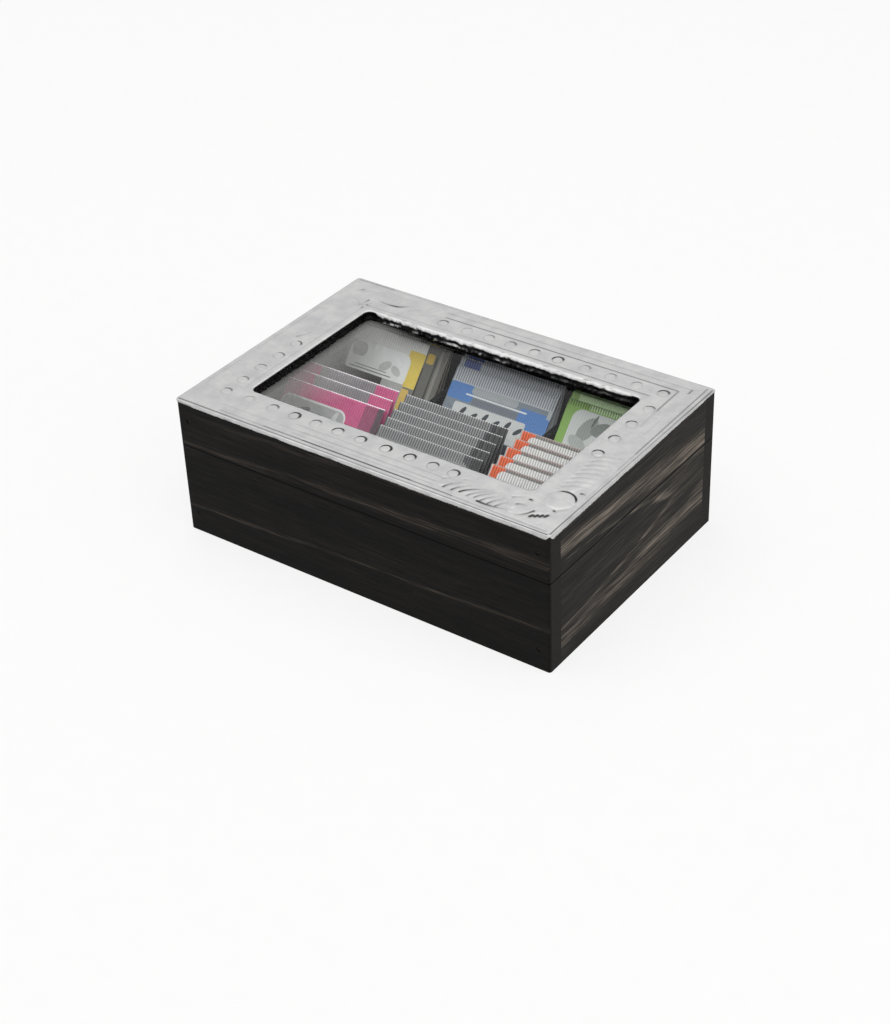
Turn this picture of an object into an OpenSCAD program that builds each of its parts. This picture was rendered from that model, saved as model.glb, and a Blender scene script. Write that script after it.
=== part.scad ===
// Tea sachet box: stained pine carcass, hinged lid with a glass window under an embossed metal sheet,
// six compartments with sachets. Millimetres, +Z up, origin at the centre of the underside,
// +X to the right along the long front, +Y to the hinged back.

/* [Compartments] */
// Width of one compartment, left to right
compartment_w = 71; // [66:0.5:80]
// Depth of one compartment, front to back
compartment_d = 69.25; // [66:0.25:80]
// Thickness of the dividers
divider_t = 3.5; // [3:0.25:5]
// Height of the dividers above the bottom panel
divider_h = 44; // [38:1:46]
// Depth of the grooves that hold the ends of the dividers
groove_depth = 2; // [1:0.5:3]

/* [Carcass] */
// Height of the wooden box, lid closed
box_h = 84; // [81:0.5:92]
// Height of the seam where the lid parts from the base
seam_z = 55.3; // [53:0.1:58]
// Gap between the closed lid and the base, which shows as a dark line
seam_gap = 0.3; // [0.2:0.05:0.5]
// Thickness of the four side boards of lid and base
board_t = 10; // [9:0.5:14]
// Radius of the sanded upright corners
corner_r = 1.5; // [0.5:0.25:3]
// Thickness of the bottom panel
bottom_t = 4; // [3:0.5:5]
// Thickness of the top panel of the lid
lid_panel_t = 5; // [4:0.5:6]
// How far both panels reach into the boards
rabbet_w = 5; // [3:0.5:6]
// Clearance around pieces that are fitted into the boards
fit_gap = 0.15; // [0.05:0.05:0.3]

/* [Window] */
// Width of the top frame around the window
frame_w = 28.6; // [24:0.2:34]
// Radius of the corners of the window
window_r = 3.5; // [2:0.5:6]
// Thickness of the glass
glass_t = 2; // [1.5:0.25:3]
// How far the glass reaches under the frame on each side
glass_overlap = 6; // [4:0.5:8]
// Height of the strips that hold the glass
retainer_h = 4; // [3.5:0.25:6]
// Width of the strips beyond the edge of the glass
retainer_w = 5.7; // [4:0.1:7]
// Width of the lip that carries the glass
retainer_lip = 4; // [3:0.5:5]

/* [Metal sheet] */
// Thickness of the sheet
metal_t = 0.4; // [0.2:0.1:0.8]
// How far the sheet is folded down at the front and the back
long_flap = 2.7; // [1.5:0.1:5]
// How far it is folded down at the sides, at their front end
side_flap_front = 3.6; // [2:0.1:5]
// How far it is folded down at the sides, at their back end
side_flap_back = 1.8; // [1:0.1:5]
// How far it is folded down into the window
inner_flap = 4.2; // [2:0.1:4.6]
// How far the corners of the folded edge are cut back
flap_notch = 2; // [1:0.25:4]

/* [Embossing] */
// Height of the raised work above the sheet
emboss_h = 0.35; // [0.2:0.05:0.6]
// Diameter of the raised dots
dot_d = 6.5; // [4:0.25:8]
// Spacing of the dots in the front row and the left column
dot_pitch_front = 15.05; // [12:0.05:18]
// Spacing of the dots in the back row and the right column
dot_pitch_back = 16.2; // [12:0.05:18]
// Distance of the dots from the outer edge of the sheet
dot_inset = 19.5; // [15:0.25:22]
// Width of the raised border lines
ridge_w = 0.9; // [0.5:0.1:1.5]
// Distance of the outer border line from the edge
ridge_outer_inset = 8.4; // [6:0.2:10]
// Distance of the inner border line from the edge
ridge_inner_inset = 13; // [11:0.2:14]
// Distance of the border line that goes round the window from its edge
ridge_window_gap = 3.6; // [2.5:0.1:5]

/* [Hinges] */
// Width of each hinge
hinge_w = 25; // [20:1:32]
// Distance of the hinges from the middle of the box
hinge_x = 70; // [50:1:85]
// Height of each leaf from the pin
leaf_h = 14; // [12:0.5:18]
// Thickness of the leaves
leaf_t = 0.9; // [0.6:0.1:1.2]
// Diameter of the knuckles
knuckle_d = 3.5; // [3:0.1:4.5]
// Diameter of the pin
pin_d = 1.6; // [1.2:0.1:2]
// Play along and around the knuckles
hinge_play = 0.3; // [0.2:0.05:0.4]
// Angle at which the stop lugs hold the lid
open_angle = 100; // [92:1:110]
// Reach of the stop lugs from the pin
lug_reach = 3.5; // [3:0.1:4.5]

/* [Fasteners] */
// Diameter of the brads
nail_d = 1.5; // [1:0.1:2]
// Diameter of the heads of the brads
nail_head_d = 2.4; // [2:0.1:3]
// Length of the brads at the corners
corner_nail_l = 22; // [16:1:30]
// Distance of the corner brads from the ends of the box
nail_inset = 7; // [5:0.25:7.5]
// Distance of the corner brads from the top and from the underside
nail_edge = 12.3; // [10:0.1:14]
// Length of the brads in the bottom panel
bottom_nail_l = 12; // [9:0.5:16]
// Diameter of the hinge screws
screw_d = 2; // [1.6:0.1:2.4]
// Diameter of the heads of the hinge screws
screw_head_d = 3.8; // [3.2:0.1:4.4]
// Length of the hinge screws
screw_l = 8; // [6:0.5:8.5]

/* [Sachets] */
// Length of a sachet with both crimped ends
sachet_l = 80; // [76:0.5:84]
// Thickness of a sachet at its fullest
sachet_belly = 3.6; // [2.4:0.1:3.8]
// Length of the crimped ends
crimp_l = 8; // [6:0.5:10]
// Thickness of the crimped ends
crimp_t = 0.6; // [0.3:0.1:0.8]
// Room on each side of a sachet in its compartment
sachet_side_room = 1.5; // [1:0.25:3]
// Room between the tops of the rear sachets and the strips of the lid
sachet_head_room = 2.4; // [1.5:0.1:6]
// Spacing of the crimped tops in the back stacks
back_top_step = 1.4; // [1.2:0.05:2]
// Spacing of the crimped tops in the front stacks
front_top_step = 3.5; // [2:0.1:4.2]
// Distance of the foremost foot from the front of a back compartment
back_foot_room = 2.75; // [2:0.25:6]
// Distance of the foremost foot from the front of a front compartment
front_foot_room = 1; // [0.75:0.25:4]
// Lean of the rear sachets in the front compartments
front_lean = 38; // [34:0.5:42]

/* [Hidden] */

$fn = 48;
over = 1;
sink = 0.1;

stain_colour = "#2a2826";
divider_colour = "#333130";
metal_colour = "#c9c9c9";
brass_colour = "#b08d4f";
steel_colour = "#55534f";
strip_colour = "#2f2c2a";

inner_w = 3 * compartment_w + 2 * divider_t;
inner_d = 2 * compartment_d + divider_t;
box_w = inner_w + 2 * board_t;
box_d = inner_d + 2 * board_t;
base_top = seam_z - seam_gap / 2;
lid_bottom = seam_z + seam_gap / 2;
divider_top = bottom_t + divider_h;
cross_x = (compartment_w + divider_t) / 2;

window_w = box_w - 2 * frame_w;
window_d = box_d - 2 * frame_w;
panel_z = box_h - lid_panel_t;
glass_w = window_w + 2 * glass_overlap;
glass_d = window_d + 2 * glass_overlap;
retainer_z = panel_z - retainer_h;
sheet_top = box_h + metal_t;

knuckle_r = knuckle_d / 2;
knuckles = 5;
knuckle_w = (hinge_w - (knuckles - 1) * hinge_play) / knuckles;
hinge_y = box_d / 2 + hinge_play + knuckle_r;
leaf_face = hinge_y - box_d / 2 - leaf_t;
stop_gap = 0.15;
lug_half = (leaf_face - stop_gap + lug_reach * cos(open_angle)) / sin(open_angle);
pin_head_d = knuckle_d * 0.8;
pin_head_t = 0.6;
pin_play = 0.05;
screw_spread = hinge_w * 0.28;
screw_drop = leaf_h * 0.65;
screw_head_t = 1.1;
screw_crown_d = screw_head_d * 0.6;
screw_crown_t = screw_head_t * 0.6;
screw_slot_w = 0.6;
screw_slot_depth = 0.5;

nail_head_t = 0.8;
nail_set = 0.4;
nail_play = 0.05;
nail_spread_x = 0.36;
nail_spread_y = 0.28;
pin_nail_d = 1;
pin_nail_head_d = 1.8;
pin_nail_head_t = 0.4;
pin_nail_grip = 3;
pin_nail_l = retainer_h + pin_nail_grip;

sachet_w = compartment_w - 2 * sachet_side_room;
soft_l = sachet_l - 2 * crimp_l;
rest_gap = 0.1;
seat_gap = 0.3;
squeeze_gap = 0.05;
belly_bias = 0.6;
stagger = 0.12;
stagger_turn = 137;
back_lean = acos((retainer_z - sachet_head_room - bottom_t) / sachet_l);
back_rear_y = inner_d / 2 - seat_gap - crimp_t / 2 - sachet_l * sin(back_lean);
back_front_y = divider_t / 2 + back_foot_room;
front_front_y = -inner_d / 2 + front_foot_room;

// Flat outline of a board that lies along X, its outer face on y = 0, with eased outer corners.
module board_outline(w, t) {
    translate([-w / 2 + corner_r, 0]) square([w - 2 * corner_r, t]);
    translate([-w / 2, corner_r]) square([w, t - corner_r]);
    for (side = [-1, 1]) {
        translate([side * (w / 2 - corner_r), corner_r]) circle(r = corner_r);
    }
}

// Centred flat rectangle with round corners.
module round_rect(w, d, r) {
    square([w - 2 * r, d], center = true);
    square([w, d - 2 * r], center = true);
    for (sx = [-1, 1], sy = [-1, 1]) {
        translate([sx * (w / 2 - r), sy * (d / 2 - r)]) circle(r = r);
    }
}

// Upright block centred in plan.
module slab(w, d, z0, z1) {
    translate([-w / 2, -d / 2, z0]) cube([w, d, z1 - z0]);
}

// Rabbet of a panel, cut out of the boards around it.
module panel_rabbet(z0, z1) {
    slab(inner_w + 2 * rabbet_w, inner_d + 2 * rabbet_w, z0, z1);
}

// Panel that fills such a rabbet.
module panel_blank(z0, z1) {
    slab(inner_w + 2 * (rabbet_w - fit_gap), inner_d + 2 * (rabbet_w - fit_gap), z0, z1);
}

// Grooves for the ends of the dividers.
module divider_grooves() {
    groove_w = divider_t + 2 * fit_gap;
    for (side = [-1, 1]) {
        translate([side * cross_x, 0, 0]) {
            slab(groove_w, inner_d + 2 * groove_depth, bottom_t, divider_top + fit_gap);
        }
    }
    slab(inner_w + 2 * groove_depth, groove_w, bottom_t, divider_top + fit_gap);
}

// Brad with its head at z = 0 and its shank going up, grown by play for the hole.
module nail(d, head_d, head_t, l, play, recess) {
    translate([0, 0, -recess]) cylinder(d = head_d + 2 * play, h = head_t + recess + play);
    cylinder(d = d + 2 * play, h = l + play);
}

// Places for the brads of the four corners, at one height.
module at_corner_nails(z) {
    for (sx = [-1, 1], sy = [-1, 1]) {
        translate([sx * (box_w / 2 - nail_inset), sy * (box_d / 2 - nail_set), z]) {
            rotate([sy * 90, 0, 0]) children();
        }
    }
}

// Places for the brads that hold the bottom panel.
module at_bottom_nails() {
    edge_x = inner_w / 2 + rabbet_w / 2;
    edge_y = inner_d / 2 + rabbet_w / 2;
    for (sy = [-1, 1], along = [-1, 0, 1]) {
        translate([along * inner_w * nail_spread_x, sy * edge_y, nail_set]) children();
    }
    for (sx = [-1, 1], along = [-1, 1]) {
        translate([sx * edge_x, along * inner_d * nail_spread_y, nail_set]) children();
    }
}

// Places for the hinge screws of one leaf, up is 1 for the lid and -1 for the base.
module at_hinge_screws(up) {
    for (side = [-1, 1], along = [-1, 1]) {
        translate([side * hinge_x + along * screw_spread, box_d / 2 + leaf_t, seam_z + up * screw_drop]) {
            rotate([90, 0, 0]) children();
        }
    }
}

module screw_hole() {
    translate([0, 0, -over]) cylinder(d = screw_d + 2 * nail_play, h = screw_l + nail_play + over);
}

module corner_nail_hole() {
    nail(nail_d, nail_head_d, nail_head_t, corner_nail_l, nail_play, over);
}

module bottom_nail_hole() {
    nail(nail_d, nail_head_d, nail_head_t, bottom_nail_l, nail_play, over);
}

// Front board, or back board with side = 1, between two heights.
module long_board(side, z0, z1) {
    mirror([0, side > 0 ? 1 : 0, 0]) {
        translate([0, -box_d / 2, z0]) linear_extrude(z1 - z0) board_outline(box_w, board_t);
    }
}

// Left board, or right board with side = 1, between two heights.
module short_board(side, z0, z1) {
    translate([side * (inner_w + board_t) / 2, 0, 0]) slab(board_t, inner_d, z0, z1);
}

module base_cuts() {
    panel_rabbet(-over, bottom_t);
    divider_grooves();
    at_corner_nails(nail_edge) corner_nail_hole();
    at_bottom_nails() bottom_nail_hole();
}

module lid_cuts() {
    panel_rabbet(panel_z, box_h + over);
    at_corner_nails(box_h - nail_edge) corner_nail_hole();
}

module base_front_board() {
    color(stain_colour) difference() {
        long_board(-1, 0, base_top);
        base_cuts();
    }
}

module base_back_board() {
    color(stain_colour) difference() {
        long_board(1, 0, base_top);
        base_cuts();
        at_hinge_screws(-1) screw_hole();
    }
}

module base_side_board(side) {
    color(stain_colour) difference() {
        short_board(side, 0, base_top);
        base_cuts();
    }
}

module bottom_panel() {
    color(stain_colour) difference() {
        panel_blank(0, bottom_t);
        at_bottom_nails() bottom_nail_hole();
    }
}

module long_divider() {
    lap = divider_t + 2 * fit_gap;
    color(divider_colour) difference() {
        slab(inner_w + 2 * (groove_depth - fit_gap), divider_t, bottom_t, divider_top);
        for (side = [-1, 1]) {
            translate([side * cross_x, 0, 0]) slab(lap, lap, bottom_t + divider_h / 2, divider_top + over);
        }
    }
}

module cross_divider(side) {
    lap = divider_t + 2 * fit_gap;
    color(divider_colour) translate([side * cross_x, 0, 0]) difference() {
        slab(divider_t, inner_d + 2 * (groove_depth - fit_gap), bottom_t, divider_top);
        slab(lap, lap, bottom_t - over, bottom_t + divider_h / 2 + fit_gap);
    }
}

module base_corner_nails() {
    color(steel_colour) at_corner_nails(nail_edge) {
        nail(nail_d, nail_head_d, nail_head_t, corner_nail_l, 0, 0);
    }
}

module lid_corner_nails() {
    color(steel_colour) at_corner_nails(box_h - nail_edge) {
        nail(nail_d, nail_head_d, nail_head_t, corner_nail_l, 0, 0);
    }
}

module bottom_panel_nails() {
    color(steel_colour) at_bottom_nails() {
        nail(nail_d, nail_head_d, nail_head_t, bottom_nail_l, 0, 0);
    }
}

// Slotted screw with the underside of its head at z = 0 and its shank going up.
module screw() {
    difference() {
        union() {
            translate([0, 0, -screw_head_t]) {
                cylinder(d1 = screw_crown_d, d2 = screw_head_d, h = screw_crown_t);
            }
            translate([0, 0, screw_crown_t - screw_head_t]) {
                cylinder(d = screw_head_d, h = screw_head_t - screw_crown_t);
            }
        }
        slab(screw_head_d, screw_slot_w, -screw_head_t - over, screw_slot_depth - screw_head_t);
    }
    cylinder(d = screw_d, h = screw_l);
}

module hinge_screws(up) {
    color(brass_colour) at_hinge_screws(up) screw();
}

// One leaf with its knuckles: up is 1 on the lid and -1 on the base, first is its first knuckle.
module hinge_leaf(side, up, first) {
    step = knuckle_w + hinge_play;
    color(brass_colour) difference() {
        translate([side * hinge_x, hinge_y, seam_z]) union() {
            translate([-hinge_w / 2, -knuckle_r - hinge_play, up > 0 ? knuckle_r + hinge_play : -leaf_h]) {
                cube([hinge_w, leaf_t, leaf_h - knuckle_r - hinge_play]);
            }
            for (k = [first : 2 : knuckles - 1]) {
                translate([-hinge_w / 2 + k * step, 0, 0]) {
                    rotate([0, 90, 0]) cylinder(r = knuckle_r, h = knuckle_w);
                    translate([0, -knuckle_r - hinge_play, up > 0 ? 0 : -knuckle_r - hinge_play - sink]) {
                        cube([knuckle_w, leaf_t, knuckle_r + hinge_play + sink]);
                    }
                    if (up > 0) {
                        translate([0, 0, -lug_half]) cube([knuckle_w, lug_reach, 2 * lug_half]);
                    }
                }
            }
        }
        translate([side * hinge_x - hinge_w / 2 - over, hinge_y, seam_z]) {
            rotate([0, 90, 0]) cylinder(d = pin_d + 2 * pin_play, h = hinge_w + 2 * over);
        }
        at_hinge_screws(up) screw_hole();
    }
}

module hinge_pin(side) {
    color(brass_colour) translate([side * hinge_x, hinge_y, seam_z]) rotate([0, 90, 0]) {
        cylinder(d = pin_d, h = hinge_w, center = true);
        for (end = [-1, 1]) {
            translate([0, 0, end * (hinge_w + pin_head_t) / 2]) {
                cylinder(d = pin_head_d, h = pin_head_t, center = true);
            }
        }
    }
}

// Half thickness of a sachet at share u of the way between its crimped ends, fullest below the middle.
function sachet_half(u, belly) = crimp_t / 2 + (belly - crimp_t) / 2 * sin(180 * pow(u, belly_bias));

// Tilt of sachet i, counted from the rear: each crimped top lies top_step in front of the one behind it.
function tilt_of(i, lean, foot_step, top_step) = i == 0 ? lean
    : let (before = tilt_of(i - 1, lean, foot_step, top_step))
      before + asin((foot_step * cos(before) - top_step) / sachet_l);

// Foot of the rear sachet where it leans on the upper edge of the long divider.
function foot_behind(lean) = -divider_t / 2 - divider_h * tan(lean)
    - (seat_gap + sachet_half((divider_h / cos(lean) - crimp_l) / soft_l, sachet_belly)) / cos(lean);

// Side view of a sachet that stands on the origin.
module sachet_profile(belly) {
    steps = 12;
    front = [for (i = [0 : steps]) [-sachet_half(i / steps, belly), crimp_l + soft_l * i / steps]];
    back = [for (i = [steps : -1 : 0]) [sachet_half(i / steps, belly), crimp_l + soft_l * i / steps]];
    polygon(concat(
        [[-crimp_t / 2, 0]],
        front,
        [[-crimp_t / 2, sachet_l], [crimp_t / 2, sachet_l]],
        back,
        [[crimp_t / 2, 0]]
    ));
}

// Fan of sachets that lean back, their feet spread forward from rear_y. They are pressed flatter where
// the stack is tight. empty is the share of the room down to front_y that the fan leaves free, and aside
// says how far the sachets are pushed to one side of the compartment.
module sachet_stack(column, count, rear_y, lean, front_y, top_step, empty, aside) {
    foot_step = (rear_y - front_y) * (1 - empty) / (count - 1);
    tightest = foot_step * cos(tilt_of(count - 2, lean, foot_step, top_step));
    belly = min(sachet_belly, (tightest + top_step) / 2 - squeeze_gap);
    for (i = [0 : count - 1]) {
        tilt = tilt_of(i, lean, foot_step, top_step);
        shift = sachet_side_room * (aside + stagger * sin(stagger_turn * i));
        translate([column * (compartment_w + divider_t) + shift - sachet_w / 2, 0, 0]) {
            rotate([90, 0, 90]) linear_extrude(sachet_w) {
                translate([rear_y - i * foot_step, bottom_t + rest_gap + crimp_t / 2 * sin(tilt)]) {
                    rotate(-tilt) sachet_profile(belly);
                }
            }
        }
    }
}

module back_stack(column, count, empty, aside) {
    sachet_stack(column, count, back_rear_y, back_lean, back_front_y, back_top_step, empty, aside);
}

module front_stack(column, count, lean, top_step, empty, aside) {
    sachet_stack(column, count, foot_behind(lean), lean, front_front_y, top_step, empty, aside);
}

module sachets_back_left_yellow() {
    color("#c9b25a") back_stack(-1, 3, 0.37, -0.65);
}

module sachets_back_middle_blue() {
    color("#5b7fb8") back_stack(0, 4, 0, 0.65);
}

module sachets_back_right_green() {
    color("#86b05a") back_stack(1, 4, 0.12, 0.65);
}

module sachets_front_left_pink() {
    color("#c8658a") front_stack(-1, 3, front_lean, front_top_step, 0.4, 0.65);
}

module sachets_front_middle_grey() {
    color("#6f7072") front_stack(0, 5, front_lean, front_top_step, 0, -0.4);
}

module sachets_front_right_orange() {
    steeper = 3;
    wider = 0.5;
    color("#d9744e") front_stack(1, 5, front_lean - steeper, front_top_step + wider, 0, 0.65);
}

module lid_front_board() {
    color(stain_colour) difference() {
        long_board(-1, lid_bottom, box_h);
        lid_cuts();
    }
}

module lid_back_board() {
    color(stain_colour) difference() {
        long_board(1, lid_bottom, box_h);
        lid_cuts();
        at_hinge_screws(1) screw_hole();
    }
}

module lid_side_board(side) {
    color(stain_colour) difference() {
        short_board(side, lid_bottom, box_h);
        lid_cuts();
    }
}

module lid_top_panel() {
    color(stain_colour) difference() {
        panel_blank(panel_z, box_h);
        translate([0, 0, panel_z - over]) linear_extrude(lid_panel_t + 2 * over) {
            round_rect(window_w + 2 * metal_t, window_d + 2 * metal_t, window_r + metal_t);
        }
        at_retainer_pins() retainer_pin(nail_play);
    }
}

module window_glass() {
    color([0.85, 0.9, 0.9, 0.35]) slab(glass_w, glass_d, panel_z - glass_t, panel_z);
}

// Places for the pins that hold the glass strips, clear of the glass.
module at_retainer_pins() {
    px = glass_w / 2 + retainer_w / 2;
    py = glass_d / 2 + retainer_w / 2;
    for (sy = [-1, 1], along = [-1, 0, 1]) {
        translate([along * glass_w * nail_spread_x, sy * py, retainer_z]) children();
    }
    for (sx = [-1, 1], along = [-1, 1]) {
        translate([sx * px, along * glass_d * nail_spread_y, retainer_z]) children();
    }
}

module retainer_pin(play) {
    translate([0, 0, -pin_nail_head_t]) cylinder(d = pin_nail_head_d, h = pin_nail_head_t);
    cylinder(d = pin_nail_d + 2 * play, h = pin_nail_l + play);
}

// One mitred strip under the glass: along is the length of its outer edge, away its distance.
module glass_retainer(turn, half_along, half_away) {
    reach = retainer_w + fit_gap;
    inner = half_away - retainer_lip;
    outer = half_away + reach;
    color(strip_colour) difference() {
        translate([0, 0, retainer_z]) linear_extrude(retainer_h) rotate(turn) {
            polygon([
                [-half_along - reach, -outer], [half_along + reach, -outer],
                [half_along - retainer_lip, -inner], [-half_along + retainer_lip, -inner]
            ]);
        }
        slab(glass_w + 2 * fit_gap, glass_d + 2 * fit_gap, panel_z - glass_t, panel_z + over);
        at_retainer_pins() retainer_pin(nail_play);
    }
}

module glass_retainer_pins() {
    color(steel_colour) at_retainer_pins() retainer_pin(0);
}

// Folded edge seen from the front: its top is w wide, and its lower corners are cut back.
module flap_outline(w, depth_left, depth_right) {
    polygon([
        [-w / 2, 0], [-w / 2 + flap_notch, -depth_left],
        [w / 2 - flap_notch, -depth_right], [w / 2, 0]
    ]);
}

module long_edge_flap(turn) {
    rotate([0, 0, turn]) translate([0, -box_d / 2, box_h]) rotate([90, 0, 0]) {
        linear_extrude(metal_t) flap_outline(box_w - 2 * corner_r, long_flap, long_flap);
    }
}

// Right folded edge, or left with side = -1.
module side_edge_flap(side) {
    mirror([side > 0 ? 0 : 1, 0, 0]) translate([box_w / 2, 0, box_h]) rotate([90, 0, 90]) {
        linear_extrude(metal_t) flap_outline(box_d - 2 * corner_r, side_flap_front, side_flap_back);
    }
}

// Flat raised shape on the sheet.
module raised(h) {
    translate([0, 0, sheet_top - sink]) linear_extrude(h + sink) children();
}

module dots(corner_x, corner_y, step_x, step_y, along, down) {
    for (i = [0 : along - 1]) {
        translate([corner_x + i * step_x, corner_y]) circle(d = dot_d);
    }
    for (i = [1 : down - 1]) {
        translate([corner_x, corner_y + i * step_y]) circle(d = dot_d);
    }
}

// Border line with a corner, from the corner along X and along Y.
module ridge_corner(x, y, length_x, length_y) {
    translate([min(x, x + length_x), y - ridge_w / 2]) square([abs(length_x), ridge_w]);
    translate([x - ridge_w / 2, min(y, y + length_y)]) square([ridge_w, abs(length_y)]);
}

// Leaf of lobes that swell and shrink along its length, curved by bend.
module leaf(length, lobes, width, bend) {
    thinnest = 0.45;
    fullest_before_middle = 0.8;
    for (i = [0 : lobes - 1]) {
        u = i / (lobes - 1);
        swell = thinnest + (1 - thinnest) * sin(180 * pow(u, fullest_before_middle));
        translate([u * length, bend * sin(180 * u)]) circle(d = width * swell);
    }
}

// Leaves, disc and flower in the front right corner, measured from that corner.
module corner_ornament() {
    disc_d = 15;
    flower_d = 16;
    scallop_d = 4.4;
    scallops = 5;
    leaf_w = 9;
    leaf_bend = 2;
    front_leaf = 38;
    front_lobes = 9;
    side_leaf = 33;
    side_lobes = 8;
    disc_at = [-12.5, 28.1];
    flower_at = [-26, 15];
    scallop_from = [-18, 9.5];
    scallop_step = [2.1, 2.4];
    leaf_gap = 9;
    translate([box_w / 2, -box_d / 2]) {
        translate(disc_at) circle(d = disc_d);
        translate(flower_at) circle(d = flower_d);
        for (i = [0 : scallops - 1]) {
            translate(scallop_from + i * scallop_step) circle(d = scallop_d);
        }
        translate([flower_at.x - leaf_gap - front_leaf, ridge_inner_inset - leaf_bend]) {
            leaf(front_leaf, front_lobes, leaf_w, leaf_bend);
        }
        translate([-ridge_inner_inset, disc_at.y + leaf_gap + side_leaf]) {
            rotate(-90) leaf(side_leaf, side_lobes, leaf_w, leaf_bend);
        }
    }
}

// Border lines that start in two opposite corners and stop short of the ornaments in the other two.
module border_lines() {
    reach_x = box_w * 0.62;
    reach_y = box_d * 0.48;
    ridge_x = box_w / 2 - frame_w + ridge_window_gap;
    ridge_y = box_d / 2 - frame_w + ridge_window_gap;
    right_reach = ridge_y * 1.2;
    front_reach = ridge_x * 1.6;
    for (inset = [ridge_outer_inset, ridge_inner_inset]) {
        ridge_corner(box_w / 2 - inset, box_d / 2 - inset, -reach_x, -reach_y);
        ridge_corner(-box_w / 2 + inset, -box_d / 2 + inset, reach_x, reach_y);
    }
    ridge_corner(ridge_x, ridge_y, -2 * ridge_x, -right_reach);
    ridge_corner(-ridge_x, -ridge_y, front_reach, 2 * ridge_y);
}

// Flat sheet with its window, and the edge that is folded down into the window.
module sheet_with_window() {
    window_flap = min(inner_flap, lid_panel_t - 2 * fit_gap);
    difference() {
        union() {
            translate([0, 0, box_h]) linear_extrude(metal_t) {
                round_rect(box_w + 2 * metal_t, box_d + 2 * metal_t, corner_r + metal_t);
            }
            translate([0, 0, box_h - window_flap]) linear_extrude(window_flap + sink) {
                round_rect(window_w + 2 * metal_t, window_d + 2 * metal_t, window_r + metal_t);
            }
        }
        translate([0, 0, panel_z - over]) linear_extrude(lid_panel_t + 3 * over) {
            round_rect(window_w, window_d, window_r);
        }
    }
}

// Two rows of dots: one from the front left corner, one from the back right corner.
module dot_rows() {
    row_length = box_w - 2.2 * frame_w - dot_inset;
    along_front = floor(row_length / dot_pitch_front) + 1;
    along_back = floor(row_length / dot_pitch_back) + 1;
    down = floor((box_d / 2 - dot_inset) / dot_pitch_back) + 2;
    front_rise = 1;
    x = box_w / 2 - dot_inset;
    y = box_d / 2 - dot_inset;
    dots(-x, front_rise - y, dot_pitch_front, dot_pitch_front, along_front, down);
    dots(x, y, -dot_pitch_back, -dot_pitch_back, along_back, down);
}

module embossed_metal_cover() {
    ridge_share = 0.7;
    color(metal_colour) {
        sheet_with_window();
        for (turn = [0, 180]) {
            long_edge_flap(turn);
        }
        for (side = [-1, 1]) {
            side_edge_flap(side);
        }
        raised(emboss_h) {
            dot_rows();
            corner_ornament();
            rotate(180) corner_ornament();
        }
        raised(emboss_h * ridge_share) border_lines();
    }
}

base_front_board();
base_back_board();
base_side_board(-1);  // base_left_board
base_side_board(1);  // base_right_board
bottom_panel();
long_divider();
cross_divider(-1);  // cross_divider_left
cross_divider(1);  // cross_divider_right
base_corner_nails();
bottom_panel_nails();
hinge_leaf(-1, -1, 0);  // hinge_base_leaf_left
hinge_leaf(1, -1, 0);  // hinge_base_leaf_right
hinge_pin(-1);  // hinge_pin_left
hinge_pin(1);  // hinge_pin_right
hinge_screws(-1);  // hinge_base_screws
sachets_back_left_yellow();
sachets_back_middle_blue();
sachets_back_right_green();
sachets_front_left_pink();
sachets_front_middle_grey();
sachets_front_right_orange();
lid_front_board();
lid_back_board();
lid_side_board(-1);  // lid_left_board
lid_side_board(1);  // lid_right_board
lid_top_panel();
window_glass();
glass_retainer(0, glass_w / 2, glass_d / 2);  // glass_retainer_front
glass_retainer(180, glass_w / 2, glass_d / 2);  // glass_retainer_back
glass_retainer(-90, glass_d / 2, glass_w / 2);  // glass_retainer_left
glass_retainer(90, glass_d / 2, glass_w / 2);  // glass_retainer_right
glass_retainer_pins();
embossed_metal_cover();
lid_corner_nails();
hinge_leaf(-1, 1, 1);  // hinge_lid_leaf_left
hinge_leaf(1, 1, 1);  // hinge_lid_leaf_right
hinge_screws(1);  // hinge_lid_screws
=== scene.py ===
import math

import bpy
import numpy as np
from mathutils import Matrix, Vector


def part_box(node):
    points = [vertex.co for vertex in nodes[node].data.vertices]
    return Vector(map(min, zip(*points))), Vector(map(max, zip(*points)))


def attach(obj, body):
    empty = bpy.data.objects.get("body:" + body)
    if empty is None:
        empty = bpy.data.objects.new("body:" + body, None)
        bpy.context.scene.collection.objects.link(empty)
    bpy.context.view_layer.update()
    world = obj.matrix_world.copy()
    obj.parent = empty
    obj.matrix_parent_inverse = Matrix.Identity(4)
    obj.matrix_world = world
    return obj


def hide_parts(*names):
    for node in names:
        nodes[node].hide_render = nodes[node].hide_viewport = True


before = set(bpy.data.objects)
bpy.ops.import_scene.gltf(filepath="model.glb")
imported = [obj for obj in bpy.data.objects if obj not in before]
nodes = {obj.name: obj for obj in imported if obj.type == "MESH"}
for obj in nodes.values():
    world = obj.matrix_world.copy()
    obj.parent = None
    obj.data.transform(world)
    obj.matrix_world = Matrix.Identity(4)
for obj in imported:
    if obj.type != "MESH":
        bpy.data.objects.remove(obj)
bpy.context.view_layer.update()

MM = 0.001
scene = bpy.context.scene

# Sizes of the box in millimetres, read from the frame

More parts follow.
